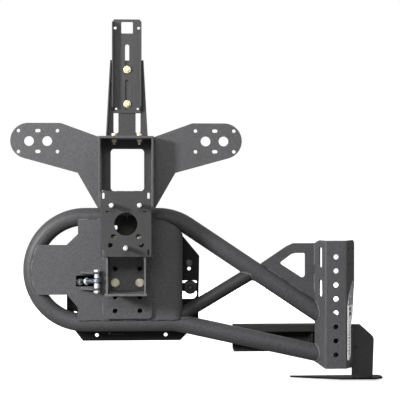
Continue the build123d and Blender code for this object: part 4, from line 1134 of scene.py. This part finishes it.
def make_world():
    """White to the camera; for lighting, a soft gradient brightest above the front left."""
    world = bpy.data.worlds.new("studio")
    scene.world = world
    world.use_nodes = True
    tree = world.node_tree
    tree.nodes.clear()
    output = add_node(tree, "OutputWorld")
    white = add_node(tree, "Background", {"Color": (1, 1, 1), "Strength": 1.0})
    view = add_node(tree, "TexCoord").outputs["Generated"]
    brightest = Vector((-0.25, -0.30, 0.92)).normalized()
    dot = add_node(tree, "VectorMath", {0: view, 1: brightest}, operation="DOT_PRODUCT")
    strength = add_node(tree, "MapRange", {
        "Value": dot.outputs["Value"], "From Min": -1.0, "From Max": 1.0,
        "To Min": 0.06, "To Max": 0.80})
    lit = add_node(tree, "Background", {"Color": (1, 1, 1), "Strength": strength.outputs[0]})
    mix_by_camera_ray(tree, output, other=lit, camera=white)


def area_light(name, place, target, size, power, colour=(1, 1, 1), glossy=True):
    light = bpy.data.lights.new(name, "AREA")
    light.shape = "RECTANGLE"
    light.size, light.size_y = size
    light.energy = power
    light.color = colour
    obj = bpy.data.objects.new(name, light)
    scene.collection.objects.link(obj)
    obj.location = place
    obj.rotation_mode = "QUATERNION"
    obj.rotation_quaternion = (Vector(target) - Vector(place)).to_track_quat("-Z", "Y")
    obj.visible_glossy = glossy


def make_lights():
    area_light("key", place=(-2.144, -1.833, 0.75), target=(0.16, 0.1, 0.0),
               size=(0.50, 0.50), power=138.0, colour=(1.0, 0.99, 0.98))
    area_light("overhead", place=(0.1, -0.9, 2.3), target=(0.15, 0.1, 0.0),
               size=(2.4, 1.4), power=12.0, glossy=False)
    area_light("front_top", place=(-0.20, -2.60, 1.05), target=(0.12, 0.1, -0.1),
               size=(0.8, 0.5), power=21.0)
    area_light("front_fill", place=(0.9, -2.9, 0.2), target=(0.2, 0.1, 0.0),
               size=(1.8, 1.8), power=4.0)
    area_light("back_fill", place=(0.9, 3.0, 0.9), target=(0.15, 0.1, -0.1),
               size=(1.8, 1.8), power=115.0, glossy=False)


def make_camera():
    """Camera in front, looking back and slightly to the right and down."""
    data = bpy.data.cameras.new("camera")
    camera = bpy.data.objects.new("camera", data)
    scene.collection.objects.link(camera)
    data.sensor_width = 36.0
    data.lens = 82.935
    data.clip_start, data.clip_end = 0.05, 100.0
    camera.location = (0.092, -2.500, 0.079)
    yaw, pitch = math.radians(2.49), math.radians(-0.31)
    look = Vector((math.sin(yaw) * math.cos(pitch), math.cos(yaw) * math.cos(pitch),
                   math.sin(pitch)))
    camera.rotation_mode = "QUATERNION"
    camera.rotation_quaternion = look.to_track_quat("-Z", "Y")
    scene.camera = camera


make_floor()
make_world()
make_lights()
make_camera()
scene.view_settings.view_transform = "Standard"
scene.view_settings.look = "None"
scene.view_settings.exposure = 0.0
scene.view_settings.gamma = 1.0
